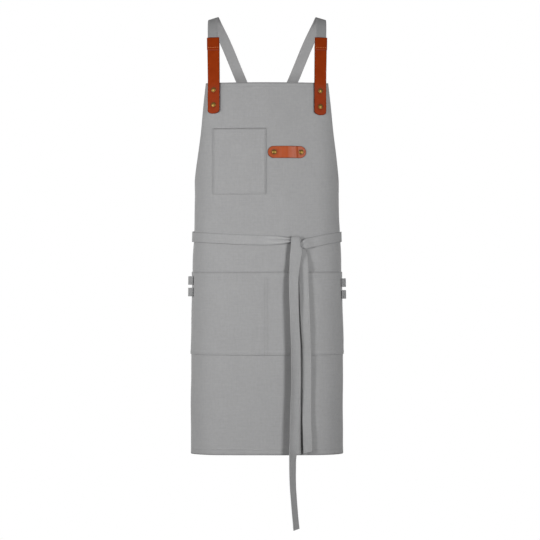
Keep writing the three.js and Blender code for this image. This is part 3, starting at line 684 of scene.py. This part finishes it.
for name, side in STRAP_NAMES:
    end_points = place(STRAP_ENDS[:, 0], STRAP_ENDS[:, 1], STRAP_END_LIFT)
    end_faces = square_to(STRAP_ENDS[:, 0], STRAP_ENDS[:, 1])
    lines = STRAP_ROWS[:, :3] + side * STRAP_CROSSING_LIFT * STRAP_ROWS[:, 6:] * np.array([0, 1, 0])
    lines = np.concatenate([lines, end_points]) * np.array([side, 1, 1])
    faces = np.concatenate([STRAP_ROWS[:, 3:6], end_faces]) * np.array([side, 1, 1])
    at = even_steps(lines, 420)
    line, facing = through(lines, at), unit(through(faces, at))
    reach = np.linspace(0, 1, len(at))[:, None]
    height = tape_heights(len(at), TAPE)
    cupped = STRAP_CUP * (1 - TAPE_ACROSS**2) * np.sin(np.pi * reach)
    cupped = cupped + STRAP_WAVE * np.sin(41 * reach + 2 * TAPE_ACROSS)
    outer, inner = band(line, facing, STRAP_WIDTH, cupped + height, cupped - height)
    strap = make_wall("strap_" + name, outer, inner, band_cut(line, STRAP_WIDTH), tape_cloth)
    attach("cloth_tape", "shoulder_strap_" + name, strap)
    length = float(strides(line).sum() / 1000)


# The leather ends: straps of orange-brown veg-tanned leather, riveted twice through the bib at a
# round foot. The top is folded over the tape and sewn through with one row of stitches.
LEATHER = 2.2
LEATHER_WIDTH, LEATHER_FOOT, LEATHER_GAP = 30.5, 8.5, 0.4
CUFF_TOP, CUFF_BOTTOM, CUFF_GAP, CUFF_INWARDS = -50.0, -78.0, 0.9, 2.0
CUFF_FOLD, CUFF_STITCH = 33.0, 27.0  # down from the top edge
CUFF_WIDER, CUFF_LAYER, CUFF_DIP, CUFF_SHADE = 0.4, 1.3, 0.15, 0.35
CUFF_LEVELLED = 24.0  # length below the fold over which the top edge's levelling fades out
# Name, side, level of the foot, levels of the two rivets
LEATHER_ENDS = (("left", -1, -229.0, (-173.6, -208.4)), ("right", 1, -232.5, (-175.8, -212.8)))
LEATHER_ACROSS = -np.cos(np.linspace(0, np.pi, 33))
LEATHER_ROUND, DIMPLE, DIMPLE_DEPTH = 1.3, 6.6, 0.35
# Width of a burnished edge, strength of the painted shade that rings each rivet, and the dark brown of
# both
BURNISH_WIDTH, PAINTED_RIVET_SHADE = 1.6, 0.7
BURNISH_AND_SHADE_BROWN = (0.06, 0.008, 0.002, 1)
STRAP_DARK, STRAP_LIGHT = (0.18, 0.017, 0.0008, 1), (0.305, 0.039, 0.003, 1)


def make_grain():
    """Leather grain: pebbles, from the distance to the edges of small cells, over a finer noise,
    with a cloudy tan and faint scuffs drawn out along the strap."""
    tree, given, wanted = new_group("leather grain", {"Cut": "NodeSocketVector"}, ("Shade", "Height"))
    size = {"Vector": given["Cut"], "Scale": 900.0}
    cells = add_node(tree, "ShaderNodeTexVoronoi", size, feature="DISTANCE_TO_EDGE")
    pebble = calc(tree, "MINIMUM", calc(tree, "MULTIPLY", cells.outputs["Distance"], 4.0), 1.0)
    fine = noise(tree, given["Cut"], 2600.0, 3.0)
    cloud = noise(tree, given["Cut"], 55.0, 5.0, 0.65)
    scuff = noise(tree, stretched(tree, given["Cut"], 420, 40), 1.0, 4.0, 0.7)
    shade = calc(tree, "MULTIPLY_ADD", scuff, 0.5, calc(tree, "MULTIPLY", cloud, 0.75))
    shade = calc(tree, "MULTIPLY_ADD", pebble, 0.15, calc(tree, "ADD", shade, -0.22))
    tree.links.new(shade, wanted["Shade"])
    tree.links.new(calc(tree, "MULTIPLY_ADD", fine, 0.5, pebble), wanted["Height"])
    return tree


GRAIN = make_grain()


def make_leather(name, dark, light, gloss):
    """Orange-brown leather, darker where its cut edges are burnished, with a ring of painted shade
    round each rivet dimple; a value at each point gives both."""
    material, tree, shader = new_material(name)
    grain = add_node(tree, "ShaderNodeGroup", {"Cut": on_cut(tree)}, node_tree=GRAIN).outputs
    tan = mixed(tree, grain["Shade"], dark, light)
    tan = mixed(tree, at_points(tree, "burnish"), tan, BURNISH_AND_SHADE_BROWN)
    roughness = calc(tree, "MULTIPLY_ADD", grain["Shade"], 0.2, 0.34)
    dress(tree, shader, tan, roughness, grain["Height"], 0.3, 0.0002)
    shader["Specular IOR Level"].default_value = gloss
    return material


strap_leather = make_leather("orange-brown strap leather", STRAP_DARK, STRAP_LIGHT, gloss=0.08)
leather_thread = make_thread("tan sewing thread", (0.46, 0.13, 0.04, 1), (0.66, 0.25, 0.09, 1))


def leather_heights(inside, pressed):
    """Half the thickness of cut leather: a round over its edge, and dimples where it is pressed."""
    return LEATHER / 2 * rounded(inside, LEATHER_ROUND) - DIMPLE_DEPTH * pressed


def burnished(inside, pressed):
    """1 along a burnished cut edge, and a ring of painted shade where a rivet presses the leather in.
    """
    return np.maximum(1 - ease(0, BURNISH_WIDTH, inside), PAINTED_RIVET_SHADE * np.clip(pressed, 0, 1))


tape_end, tape_next = STRAP_ROWS[0, :3], STRAP_ROWS[1, :3]
tape_run = tape_next - tape_end
cuff_side = unit(np.cross(tape_run, STRAP_ROWS[0, 3:6]))
cuff_face = unit(np.cross(cuff_side, tape_run))
cuff_shares = (np.linspace(CUFF_BOTTOM, CUFF_TOP, 3)[:, None] - tape_end[2]) / tape_run[2]
cuff_rows = tape_end + tape_run * cuff_shares
cuff_rows = cuff_rows + cuff_face * (CUFF_GAP + (TAPE + LEATHER) / 2) - cuff_side * CUFF_INWARDS
for name, side, foot, rivet_levels in LEATHER_ENDS:
    on_bib = np.linspace(foot, BIB_TOP, 4)
    on_cloth = ON_PANEL + LEATHER / 2 + LEATHER_GAP + hang(side * STRAP_RUN, on_bib)
    rows = np.concatenate([place(STRAP_RUN, on_bib, on_cloth), cuff_rows])
    faces = np.concatenate([square_to(STRAP_RUN, on_bib), np.repeat(cuff_face[None], 3, axis=0)])
    at = even_steps(rows, 260)
    line, facing = (through(table, at) * np.array([side, 1, 1]) for table in (rows, faces))
    facing = unit(facing)
    reach = lengths(line)[:, None] + 0.1
    from_top = reach[-1] - reach
    cuff = 1 - ease(CUFF_FOLD - 0.5, CUFF_FOLD + 0.5, from_top)
    short = np.maximum(1 - reach / LEATHER_FOOT, 0)
    wide = LEATHER_WIDTH * np.sqrt(1 - short**2) + CUFF_WIDER * cuff
    rim = LEATHER_FOOT + (LEATHER_WIDTH / 2 - LEATHER_FOOT) * ease(0, 2 * LEATHER_FOOT, reach)
    inside = rim * (1 - np.hypot(short, LEATHER_ACROSS * np.sqrt(1 - short**2)))
    inside = np.minimum(inside, from_top + 0.2)
    beside = LEATHER_ACROSS * wide / 2
    pressed = sum(bump(np.hypot(line[:, 2:] - level, beside), 0, DIMPLE) for level in rivet_levels)
    height = leather_heights(inside, pressed) - CUFF_DIP * bump(from_top, CUFF_STITCH, 1.2)
    outer, inner = band(line, facing, wide[:, 0], height + CUFF_LAYER * cuff, -height, LEATHER_ACROSS)
    along = unit(np.gradient(line, axis=0))
    uneven = outer[-1, :, 2].mean() - outer[-1, :, 2]
    levelled = (1 - ease(CUFF_FOLD, CUFF_FOLD + CUFF_LEVELLED, from_top)) * uneven / along[:, 2:]
    outer, inner = (grid + levelled[..., None] * along[:, None] for grid in (outer, inner))
    turned_edge = CUFF_SHADE * bump(from_top, CUFF_FOLD + 0.6, 0.9)
    # Burnished edges, and a ring of painted shade round each rivet
    burnish = np.maximum(burnished(inside, pressed), turned_edge)
    cut = band_cut(line, LEATHER_WIDTH, LEATHER_ACROSS)
    leather_end = make_wall("leather_strap_" + name, outer, inner, cut, strap_leather, burnish=burnish)
    seam = seam_across(outer, facing, int(np.argmin(np.abs(from_top - CUFF_STITCH))), 4)
    cuff_stitches = sew("cuff_stitches_" + name, [seam], leather_thread, size=1.7)
    attach("leather", "leather_end_" + name, leather_end, cuff_stitches)


# The leather loop: a round-ended strip of paler leather across the bib beside the pocket, riveted
# near both ends and bowed off the cloth between them.
LOOP_LEFT, LOOP_RIGHT, LOOP_LEVEL, LOOP_HEIGHT = 1.6, 90.4, -318.6, 28.0
# How far the strip stands off the bib: run, height
LOOP_BOW = np.array([(0, 0), (23, 0), (36, 2.7), (48, 5.2), (56, 4.8), (66, 3.0), (73, 0), (92, 0)])
LOOP_RIVETS = (("left", 16.2), ("right", 78.8))
LOOP_DARK, LOOP_LIGHT = (0.25, 0.036, 0.004, 1), (0.41, 0.075, 0.01, 1)
loop_leather = make_leather("orange-brown loop leather", LOOP_DARK, LOOP_LIGHT, gloss=0.34)
spread = (1 - np.cos(np.linspace(0, np.pi, 150))) / 2
run = LOOP_LEFT + 0.1 + (LOOP_RIGHT - LOOP_LEFT - 0.2) * spread
lift = ON_PANEL + LEATHER / 2 + smooth(*LOOP_BOW.T, run) + hang(run, LOOP_LEVEL)
line, facing = place(run, LOOP_LEVEL, lift), square_to(run, LOOP_LEVEL)
radius = LOOP_HEIGHT / 2
from_end = np.minimum(run - LOOP_LEFT, LOOP_RIGHT - run)[:, None]
past = np.maximum(radius - from_end, 0)
wide = 2 * np.sqrt(radius**2 - past**2)
beside = LEATHER_ACROSS * wide / 2
inside = radius - np.hypot(past, beside)
pressed = sum(bump(np.hypot(run[:, None] - at, beside), 0, DIMPLE) for _, at in LOOP_RIVETS)
height = leather_heights(inside, pressed)
outer, inner = band(line, facing, wide[:, 0], height, -height, LEATHER_ACROSS)
# Burnished edges, and a ring of painted shade round each rivet
cut, burnish = band_cut(line, LOOP_HEIGHT, LEATHER_ACROSS), burnished(inside, pressed)
leather_loop = make_wall("leather_strip", outer, inner, cut, loop_leather, burnish=burnish)
attach("leather", "leather_loop", leather_loop)


# Six brass rivets: a domed cap with a rolled rim over the leather, a shank through leather and
# cloth, and a flat back pressed against the inside of the panel.
# The turned profile from the middle of the back to the top of the cap: radius, height
RIVET_PROFILE = np.array([
    (0, -1.9), (3.7, -1.9), (4.2, -1.82), (4.4, -1.6), (4.4, -1.2), (4.15, -0.95),
    (3.6, -0.9), (1.6, -0.88), (1.6, 3.3), (5.0, 3.35), (5.4, 3.45), (5.6, 3.75),
    (5.6, 4.0), (5.45, 4.25), (5.15, 4.34), (4.9, 4.3), (4.6, 4.42), (4.1, 4.78),
    (3.3, 5.2), (2.4, 5.52), (1.4, 5.72), (0.6, 5.79), (0, 5.8),
])
RIVET_SIDES = 40
RIM_ROOT, BACK_ROOT = 15, 9  # rows of the profile where tarnish gathers
RING_TURNS = 26000.0  # radians a metre
BRASS_DARK, BRASS_LIGHT = (0.14, 0.082, 0.018, 1), (0.31, 0.19, 0.048, 1)
TARNISH = (0.16, 0.09, 0.03, 1)


def make_brass():
    """Aged brass: tarnish in the hollow inside the rim, which the attribute hollow gives, fine
    turned rings, and a cloudy polish."""
    material, tree, shader = new_material("aged brass")
    cut = on_cut(tree)
    cloud = noise(tree, cut, 420.0, 4.0, 0.6)
    outwards = add_node(tree, "ShaderNodeSeparateXYZ", {0: cut}).outputs[1]
    rings = calc(tree, "SINE", calc(tree, "MULTIPLY", outwards, RING_TURNS))
    polished = mixed(tree, cloud, BRASS_DARK, BRASS_LIGHT)
    polished = mixed(tree, at_points(tree, "hollow"), polished, TARNISH)
    roughness = calc(tree, "MULTIPLY_ADD", cloud, 0.25, 0.34)
    dress(tree, shader, polished, roughness, rings, 0.12, 0.00005)
    shader["Metallic"].default_value = 1.0
    return material


brass = make_brass()


def make_rivet(name, run, level):
    """The profile turned about a line square to the cloth, its poles closed."""
    out = square_to(run, level)
    sideways = unit(np.cross(out, np.array([0, 0, 1.0])))
    upwards = np.cross(sideways, out)
    turn = np.linspace(0, 2 * np.pi, RIVET_SIDES, endpoint=False)[:, None]
    radius, height = RIVET_PROFILE.T
    ring = radius[..., None] * (np.cos(turn)[..., None] * sideways + np.sin(turn)[..., None] * upwards)
    points = place(run, level, float(hang(run, level))) + ring + height[:, None] * out
    index = np.arange(points.shape[0] * points.shape[1]).reshape(points.shape[:2])
    onward = np.roll(index, -1, axis=0)
    quads = np.stack([index[:, :-1], onward[:, :-1], onward[:, 1:], index[:, 1:]], -1).reshape(-1, 4)
    walk = lengths(RIVET_PROFILE)
    uv = np.stack(np.broadcast_arrays(5 * np.cos(turn), walk), -1).reshape(-1, 2)
    hollow = bump(walk, walk[RIM_ROOT], 0.35) + bump(walk, walk[BACK_ROOT], 1.0)
    hollow = np.broadcast_to(hollow, points.shape[:2])
    made = make_piece(name, points.reshape(-1, 3), quads, uv, brass, hollow=hollow)
    shape = bmesh.new()
    shape.from_mesh(made.data)
    bmesh.ops.remove_doubles(shape, verts=shape.verts, dist=1e-6)
    shape.to_mesh(made.data)
    shape.free()
    return made


rivets = [("loop_rivet_" + name, run, LOOP_LEVEL) for name, run in LOOP_RIVETS]
for name, side, _, rivet_levels in LEATHER_ENDS:
    for row, level in zip(("upper", "lower"), rivet_levels):
        rivets.append((f"strap_rivet_{name}_{row}", side * STRAP_RUN, level))
for node, run, level in rivets:
    attach("rivet", node, make_rivet("brass_" + node, run, level))


# The waist ties: two long flat ties of the panel's twill, folded and sewn along both edges. Each is
# sewn to a rear corner, crosses the back, comes round the other side over the panel, and is half
# knotted with the other at the front, where one end folds over the knot and both hang free.
TIE_WIDTH, TIE_THICK, TIE_HEM = 23.5, 1.4, 10.0
TIE_SEAM, TIE_GROOVE, TIE_RIPPLE = 0.7, 0.22, 0.15  # share of the half width; depth; height
# Strengths of the painted shade along the edges where the tie lies on the panel, and of the painted
# highlight on its gathered ridges
TIE_PAINTED_EDGE_SHADE, TIE_PAINTED_CREST_HIGHLIGHT = 0.36, 0.16
TIE_GAP, TIE_HEM_LAYER = 0.2, 0.4
# Lifts where the tie follows the cloth, lifts over which its painted shade fades, and runs over which
# the painted highlight near the knot fades in
TIE_CLOSE, TIE_LYING, TIE_PAINTED_HIGHLIGHT_RUNS = (3.0, 12.0), (3.5, 9.0), (-170.0, -40.0)  # lifts, lifts, runs
TIE_SLANTED = 35.0  # length at the end
TIE_RUNGS = (3.0, 21.0)  # rows of stitches across it, from its sewn end
# Columns: run, level, lift, width, pitch, turn, gather, cup
TIE_FROM_LEFT = np.array([
    (-575, -503, 2.1, 23.5, 0, 0, 0, 0),
    (-550, -503, 2.1, 23.5, 0, 0, 0, 0),
    (-356, -503, 2.1, 23.5, 0, 0, 0, 0),
    (-216, -512, 4.6, 23.5, 0, 0, 0, 0),
    (-155, -515, 2.8, 23.5, 0, 0, 0, 0),
    (-110, -517.7, 2.1, 23.5, 0, 0, 0, 0),
    (-20, -521.5, 2.1, 23, 0, 0, 0.1, 0),
    (18, -521.8, 3, 22, 0, 0, 1.3, 0),
    (40, -521.7, 4.3, 18, 0, 0, 2.5, 0),
    (53, -521.5, 6, 12.5, 0, 0, 2.2, 0),
    (65, -522, 6.8, 10.5, 0, 0, 0.7, 0),
    (76, -525.5, 5, 10, 0, 0, 0.3, 0),
    (83.5, -533, 2.7, 10, 0, 0, 0, 0),
    (86, -545, 3, 12, 0, 0, 0, 0),
    (85.5, -562, 6.5, 15.7, 0, 0, 0, 0),
    (84.4, -577, 8.6, 18.5, 0, -5, 0, 0),
    (83.1, -600, 9.8, 21.6, 0, -8, 0, 0),
    (84.5, -655, 9.8, 22.3, 0, -9, 0, 0.3),
    (86.1, -704, 10.4, 22.3, 0, -2, 0, 0.5),
    (90.1, -773, 8, 20.6, 0, -2, 0, 0),
    (91.1, -842, 6.6, 20.9, 0, -5, 0, 0),
    (90.6, -922, 6.4, 20.9, 0, -5, 0, 0),
    (91.5, -965, 8.4, 21, 0, -3, 0, 0),
    (92.7, -1009, 9.5, 21, 0, -3, 0, 0),
])
TIE_FROM_RIGHT = np.array([
    (575, -531, 3.2, 23.5, 0, 0, 0, 0),
    (550, -531, 3.2, 23.5, 0, 0, 0, 0),
    (356, -531, 3.2, 23.5, 0, 0, 0, 0),
    (216, -512, 3.4, 23.5, 0, 0, 0, 0),
    (150, -517.5, 2.1, 23.5, 0, 0, 0, 0),
    (112, -524.7, 2.8, 24, 0, 0, 0.1, 0),
    (98, -527.5, 5.4, 24, 0, 0, 0.2, 0),
    (87, -530.5, 7.2, 22, 0, 0, 0.3, 0),
    (80, -533.5, 7.4, 17, 0, 0, 0.3, 0),
    (74.5, -538, 5.4, 11.5, 0, 0, 0.1, 0),
    (68.5, -536.5, 2.7, 10, 0, 0, 0, 0),
    (65.5, -527, 2.5, 10, 0, 0, 0, 0),
    (64.6, -517, 2.9, 12, 8, 0, 0, 0),
    (64.2, -512.4, 6.8, 17, 90, 0, 0, 0),
    (64, -519, 11.6, 21, 168, 0, 0, 0.3),
    (63.8, -535, 14, 22.5, 180, 0, 0, 0.6),
    (65.2, -547, 15, 27.5, 180, 0, 0, 0.8),
    (64, -556, 15, 27, 180, 0, 0, 0.8),
    (62.2, -574, 15, 25.4, 180, 0, 0, 0.6),
    (60.2, -592, 17, 23, 180, 0, 0, 0),
    (58.7, -617, 19.7, 22, 180, 2, 0, 0),
    (59, -659, 20, 21.7, 180, 4, 0, -0.5),
    (60.4, -704, 18.6, 22, 180, 10, 0, -1),
    (62.7, -773, 16.8, 23.9, 180, 17, 0, -2),
    (63, -842, 15.1, 25.4, 180, 21.5, 0, -2.5),
    (60.2, -922, 14.6, 24.8, 180, 22, 0, -2.5),
    (58.1, -985, 15.6, 22.8, 180, 22, 0, -2),
    (55.4, -1028, 17, 23.5, 180, 41, 0, -1.5),
    (56, -1075, 17.5, 23.5, 180, 44, 0, -1),
    (59, -1125, 18, 23.5, 180, 46, 0, -1),
    (64.3, -1184, 18.5, 23.5, 180, 46, 0, -0.5),
])


def make_tie(name, rows, count, slant, knot_painted_highlight):
    """A tie along a table: its middle line is the table's run, level and lift; the facing is the
    form's, twisted about the vertical by turn and tipped downwards by pitch. Across the tie, two
    ridges stand where it is gathered, and its edges curl by cup. The end is cut at a slant and
    turned back in a hem. Where it lies on the panel, painted shade darkens its edges, standing
    in for the shade under them, and a painted highlight lightens the ridges and the part near
    the knot."""
    reach = lengths(rows[:, :3])
    at = np.linspace(0, reach[-1], count)
    columns = (smooth(reach, column, at) for column in rows.T)
    run, level, lift, width, pitch, turn, gather, cup = columns
    pitch, turn = np.radians(pitch)[:, None], np.radians(turn)
    line = place(run, level, lift + hang(run, level) * (1 - ease(*TIE_CLOSE, lift)) + TIE_GAP)
    flat = square_to(run, level)
    twisted = np.stack([
        flat[:, 0] * np.cos(turn) - flat[:, 1] * np.sin(turn),
        flat[:, 0] * np.sin(turn) + flat[:, 1] * np.cos(turn),
        flat[:, 2],
    ], -1)
    facing = twisted * np.cos(pitch) - np.array([0, 0, 1.0]) * np.sin(pitch)
    from_end = (reach[-1] - at)[:, None]
    hem = 1 - ease(TIE_HEM - 0.8, TIE_HEM + 0.8, from_end)
    half_thick = tape_heights(count, TIE_THICK) * (1 + TIE_HEM_LAYER * hem)
    half_thick = half_thick - TIE_GROOVE * bump(np.abs(TAPE_ACROSS), TIE_SEAM, 0.06)
    ridges = -gather[:, None] * np.cos(2 * np.pi * TAPE_ACROSS)
    curl = cup[:, None] * TAPE_ACROSS**2
    ripple = TIE_RIPPLE * np.sin(at[:, None] / 17 + 2.1 * TAPE_ACROSS) * np.sin(at[:, None] / 61)
    middle = ridges + curl + ripple
    outer, inner = band(line, facing, width, middle + half_thick, middle - half_thick)
    along = unit(np.gradient(line, axis=0))
    slanted = (slant * (1 - ease(0, TIE_SLANTED, from_end)) * TAPE_ACROSS)[..., None] * along[:, None]
    outer, inner = outer + slanted, inner + slanted
    # Painted shade along the edges where the tie lies on the panel, and painted highlights on the
    # gathered ridges and near the knot
    lying = 1 - ease(*TIE_LYING, lift)[:, None]
    crest = 0.5 - 0.5 * np.cos(2 * np.pi * TAPE_ACROSS)
    light = knot_painted_highlight * ease(*TIE_PAINTED_HIGHLIGHT_RUNS, run)[:, None] + TIE_PAINTED_CREST_HIGHLIGHT * gather[:, None] * crest
    crease = lying * (TIE_PAINTED_EDGE_SHADE * bump(np.abs(TAPE_ACROSS), 1.0, 0.11) - light)
    tie = make_wall(name, outer, inner, band_cut(line, TIE_WIDTH), twill, crease=crease)
    normal = unit(np.cross(np.gradient(outer, axis=0), np.gradient(outer, axis=1)))
    normal = normal * np.sign(np.sum(normal * (outer - inner), axis=-1, keepdims=True))
    edges = [int(np.argmin(np.abs(TAPE_ACROSS - across))) for across in (-TIE_SEAM, TIE_SEAM)]
    sewn_at = (*TIE_RUNGS, reach[-1] - HEM_STITCH * TIE_HEM)
    rungs = [int(np.argmin(np.abs(at - rung))) for rung in sewn_at]
    seams = []
    for grid, way in ((outer, normal), (inner, -normal)):
        seams += [(grid[:, edge], way[:, edge]) for edge in edges]
        seams += [(grid[rung, 3:-3], way[rung, 3:-3]) for rung in rungs]
    length = float(strides(line).sum() / 1000)
    return tie, sew(name + "_stitches", seams, thread), length


for name, rows, node, slant, knot_painted_highlight in (
    ("tie_from_left", TIE_FROM_LEFT, "waist_tie_left", 2.0, 0.09),
    ("tie_from_right", TIE_FROM_RIGHT, "waist_tie_right", -0.6, 0),
):
    tie, tie_stitches, length = make_tie(name, rows, 900, slant, knot_painted_highlight)
    attach("cloth", node, tie, tie_stitches)


# The studio: a pale floor that fades into the white backdrop, a lamp in front at each side, a
# grazing lamp far to the left, a soft pair behind, and the camera straight ahead.
FLOOR_LEVEL, FLOOR_HALF, FLOOR_THICK = -1400.0, 1150.0, 10.0
FLOOR_BOUNCE, FLOOR_SEEN = (0.12, 0.12, 0.12, 1), (0.8, 0.8, 0.8, 1)
steps = np.linspace(-FLOOR_HALF, FLOOR_HALF, 25)
top = np.stack(np.broadcast_arrays(*np.meshgrid(steps, steps), FLOOR_LEVEL), -1)
under = top - np.array([0, 0, FLOOR_THICK])
floor_paint, tree, shader = new_material("pale floor")
flattened = {0: add_node(tree, "ShaderNodeTexCoord").outputs["Object"], 1: (1, 1, 0)}
flat_spot = add_node(tree, "ShaderNodeVectorMath", flattened, operation="MULTIPLY").outputs[0]
away = add_node(tree, "ShaderNodeVectorMath", {0: flat_spot}, operation="LENGTH").outputs["Value"]
fading = {"Value": away, "From Min": 0.45, "From Max": 1.1}
fade = add_node(tree, "ShaderNodeMapRange", fading, interpolation_type="SMOOTHSTEP").outputs[0]
camera_ray = add_node(tree, "ShaderNodeLightPath").outputs["Is Camera Ray"]
white = add_node(tree, "ShaderNodeEmission", {"Strength": camera_ray}).outputs[0]
tree.links.new(mixed(tree, camera_ray, FLOOR_BOUNCE, FLOOR_SEEN), shader["Base Color"])
shader["Roughness"].default_value = 0.9
painted = tree.nodes["Principled BSDF"].outputs[0]
surface = add_node(tree, "ShaderNodeMixShader", {0: fade, 1: painted, 2: white})
tree.links.new(surface.outputs[0], tree.nodes["Material Output"].inputs["Surface"])
floor = make_wall("floor", top, under, top[..., :2], floor_paint)

# Lamp: name, azimuth to the right of the front, height, distance, size, watts
LAMPS = (
    ("right_lamp", 38, -0.40, 2.3, 0.5, 35.8),
    ("left_lamp", -41, -0.40, 2.3, 0.34, 30.6),
    ("grazing_lamp", -76, -0.40, 2.3, 0.7, 16),
    ("rear_right_lamp", 166, 0.1, 4.0, 2.0, 115),
    ("rear_left_lamp", -166, 0.1, 4.0, 2.0, 140),
)
AIM = -0.58  # height
for name, azimuth, height, distance, size, watts in LAMPS:
    lamp = bpy.data.objects.new(name, bpy.data.lights.new(name, "AREA"))
    lamp.data.energy, lamp.data.size = watts, size
    angle = np.radians(azimuth)
    lamp.location = (distance * np.sin(angle), -distance * np.cos(angle), height)
    tilt = np.arctan2(height - AIM, distance)
    lamp.rotation_euler = (np.pi / 2 - tilt, 0, angle)
    bpy.context.scene.collection.objects.link(lamp)

# The backdrop is white to the camera, dim to the cloth and brighter in a reflection
FILL, GLOSSY_FILL = 0.13, 0.28
world = bpy.data.worlds.new("white studio")
world.use_nodes = True
tree = world.node_tree
ray = add_node(tree, "ShaderNodeLightPath").outputs
strength = calc(tree, "MULTIPLY_ADD", ray["Is Glossy Ray"], GLOSSY_FILL, FILL)
strength = calc(tree, "MAXIMUM", strength, ray["Is Camera Ray"])
backdrop = add_node(tree, "ShaderNodeBackground", {"Color": (1, 1, 1, 1), "Strength": strength})
tree.links.new(backdrop.outputs[0], tree.nodes["World Output"].inputs["Surface"])
bpy.context.scene.world = world
bpy.context.scene.view_settings.view_transform = "Standard"

camera = bpy.data.objects.new("camera", bpy.data.cameras.new("camera"))
camera.data.sensor_width, camera.data.lens = 36.0, 141.7
camera.location = (0.0069, -5.0, -0.590)
camera.rotation_euler = (np.pi / 2, 0, 0)
bpy.context.scene.collection.objects.link(camera)
bpy.context.scene.camera = camera
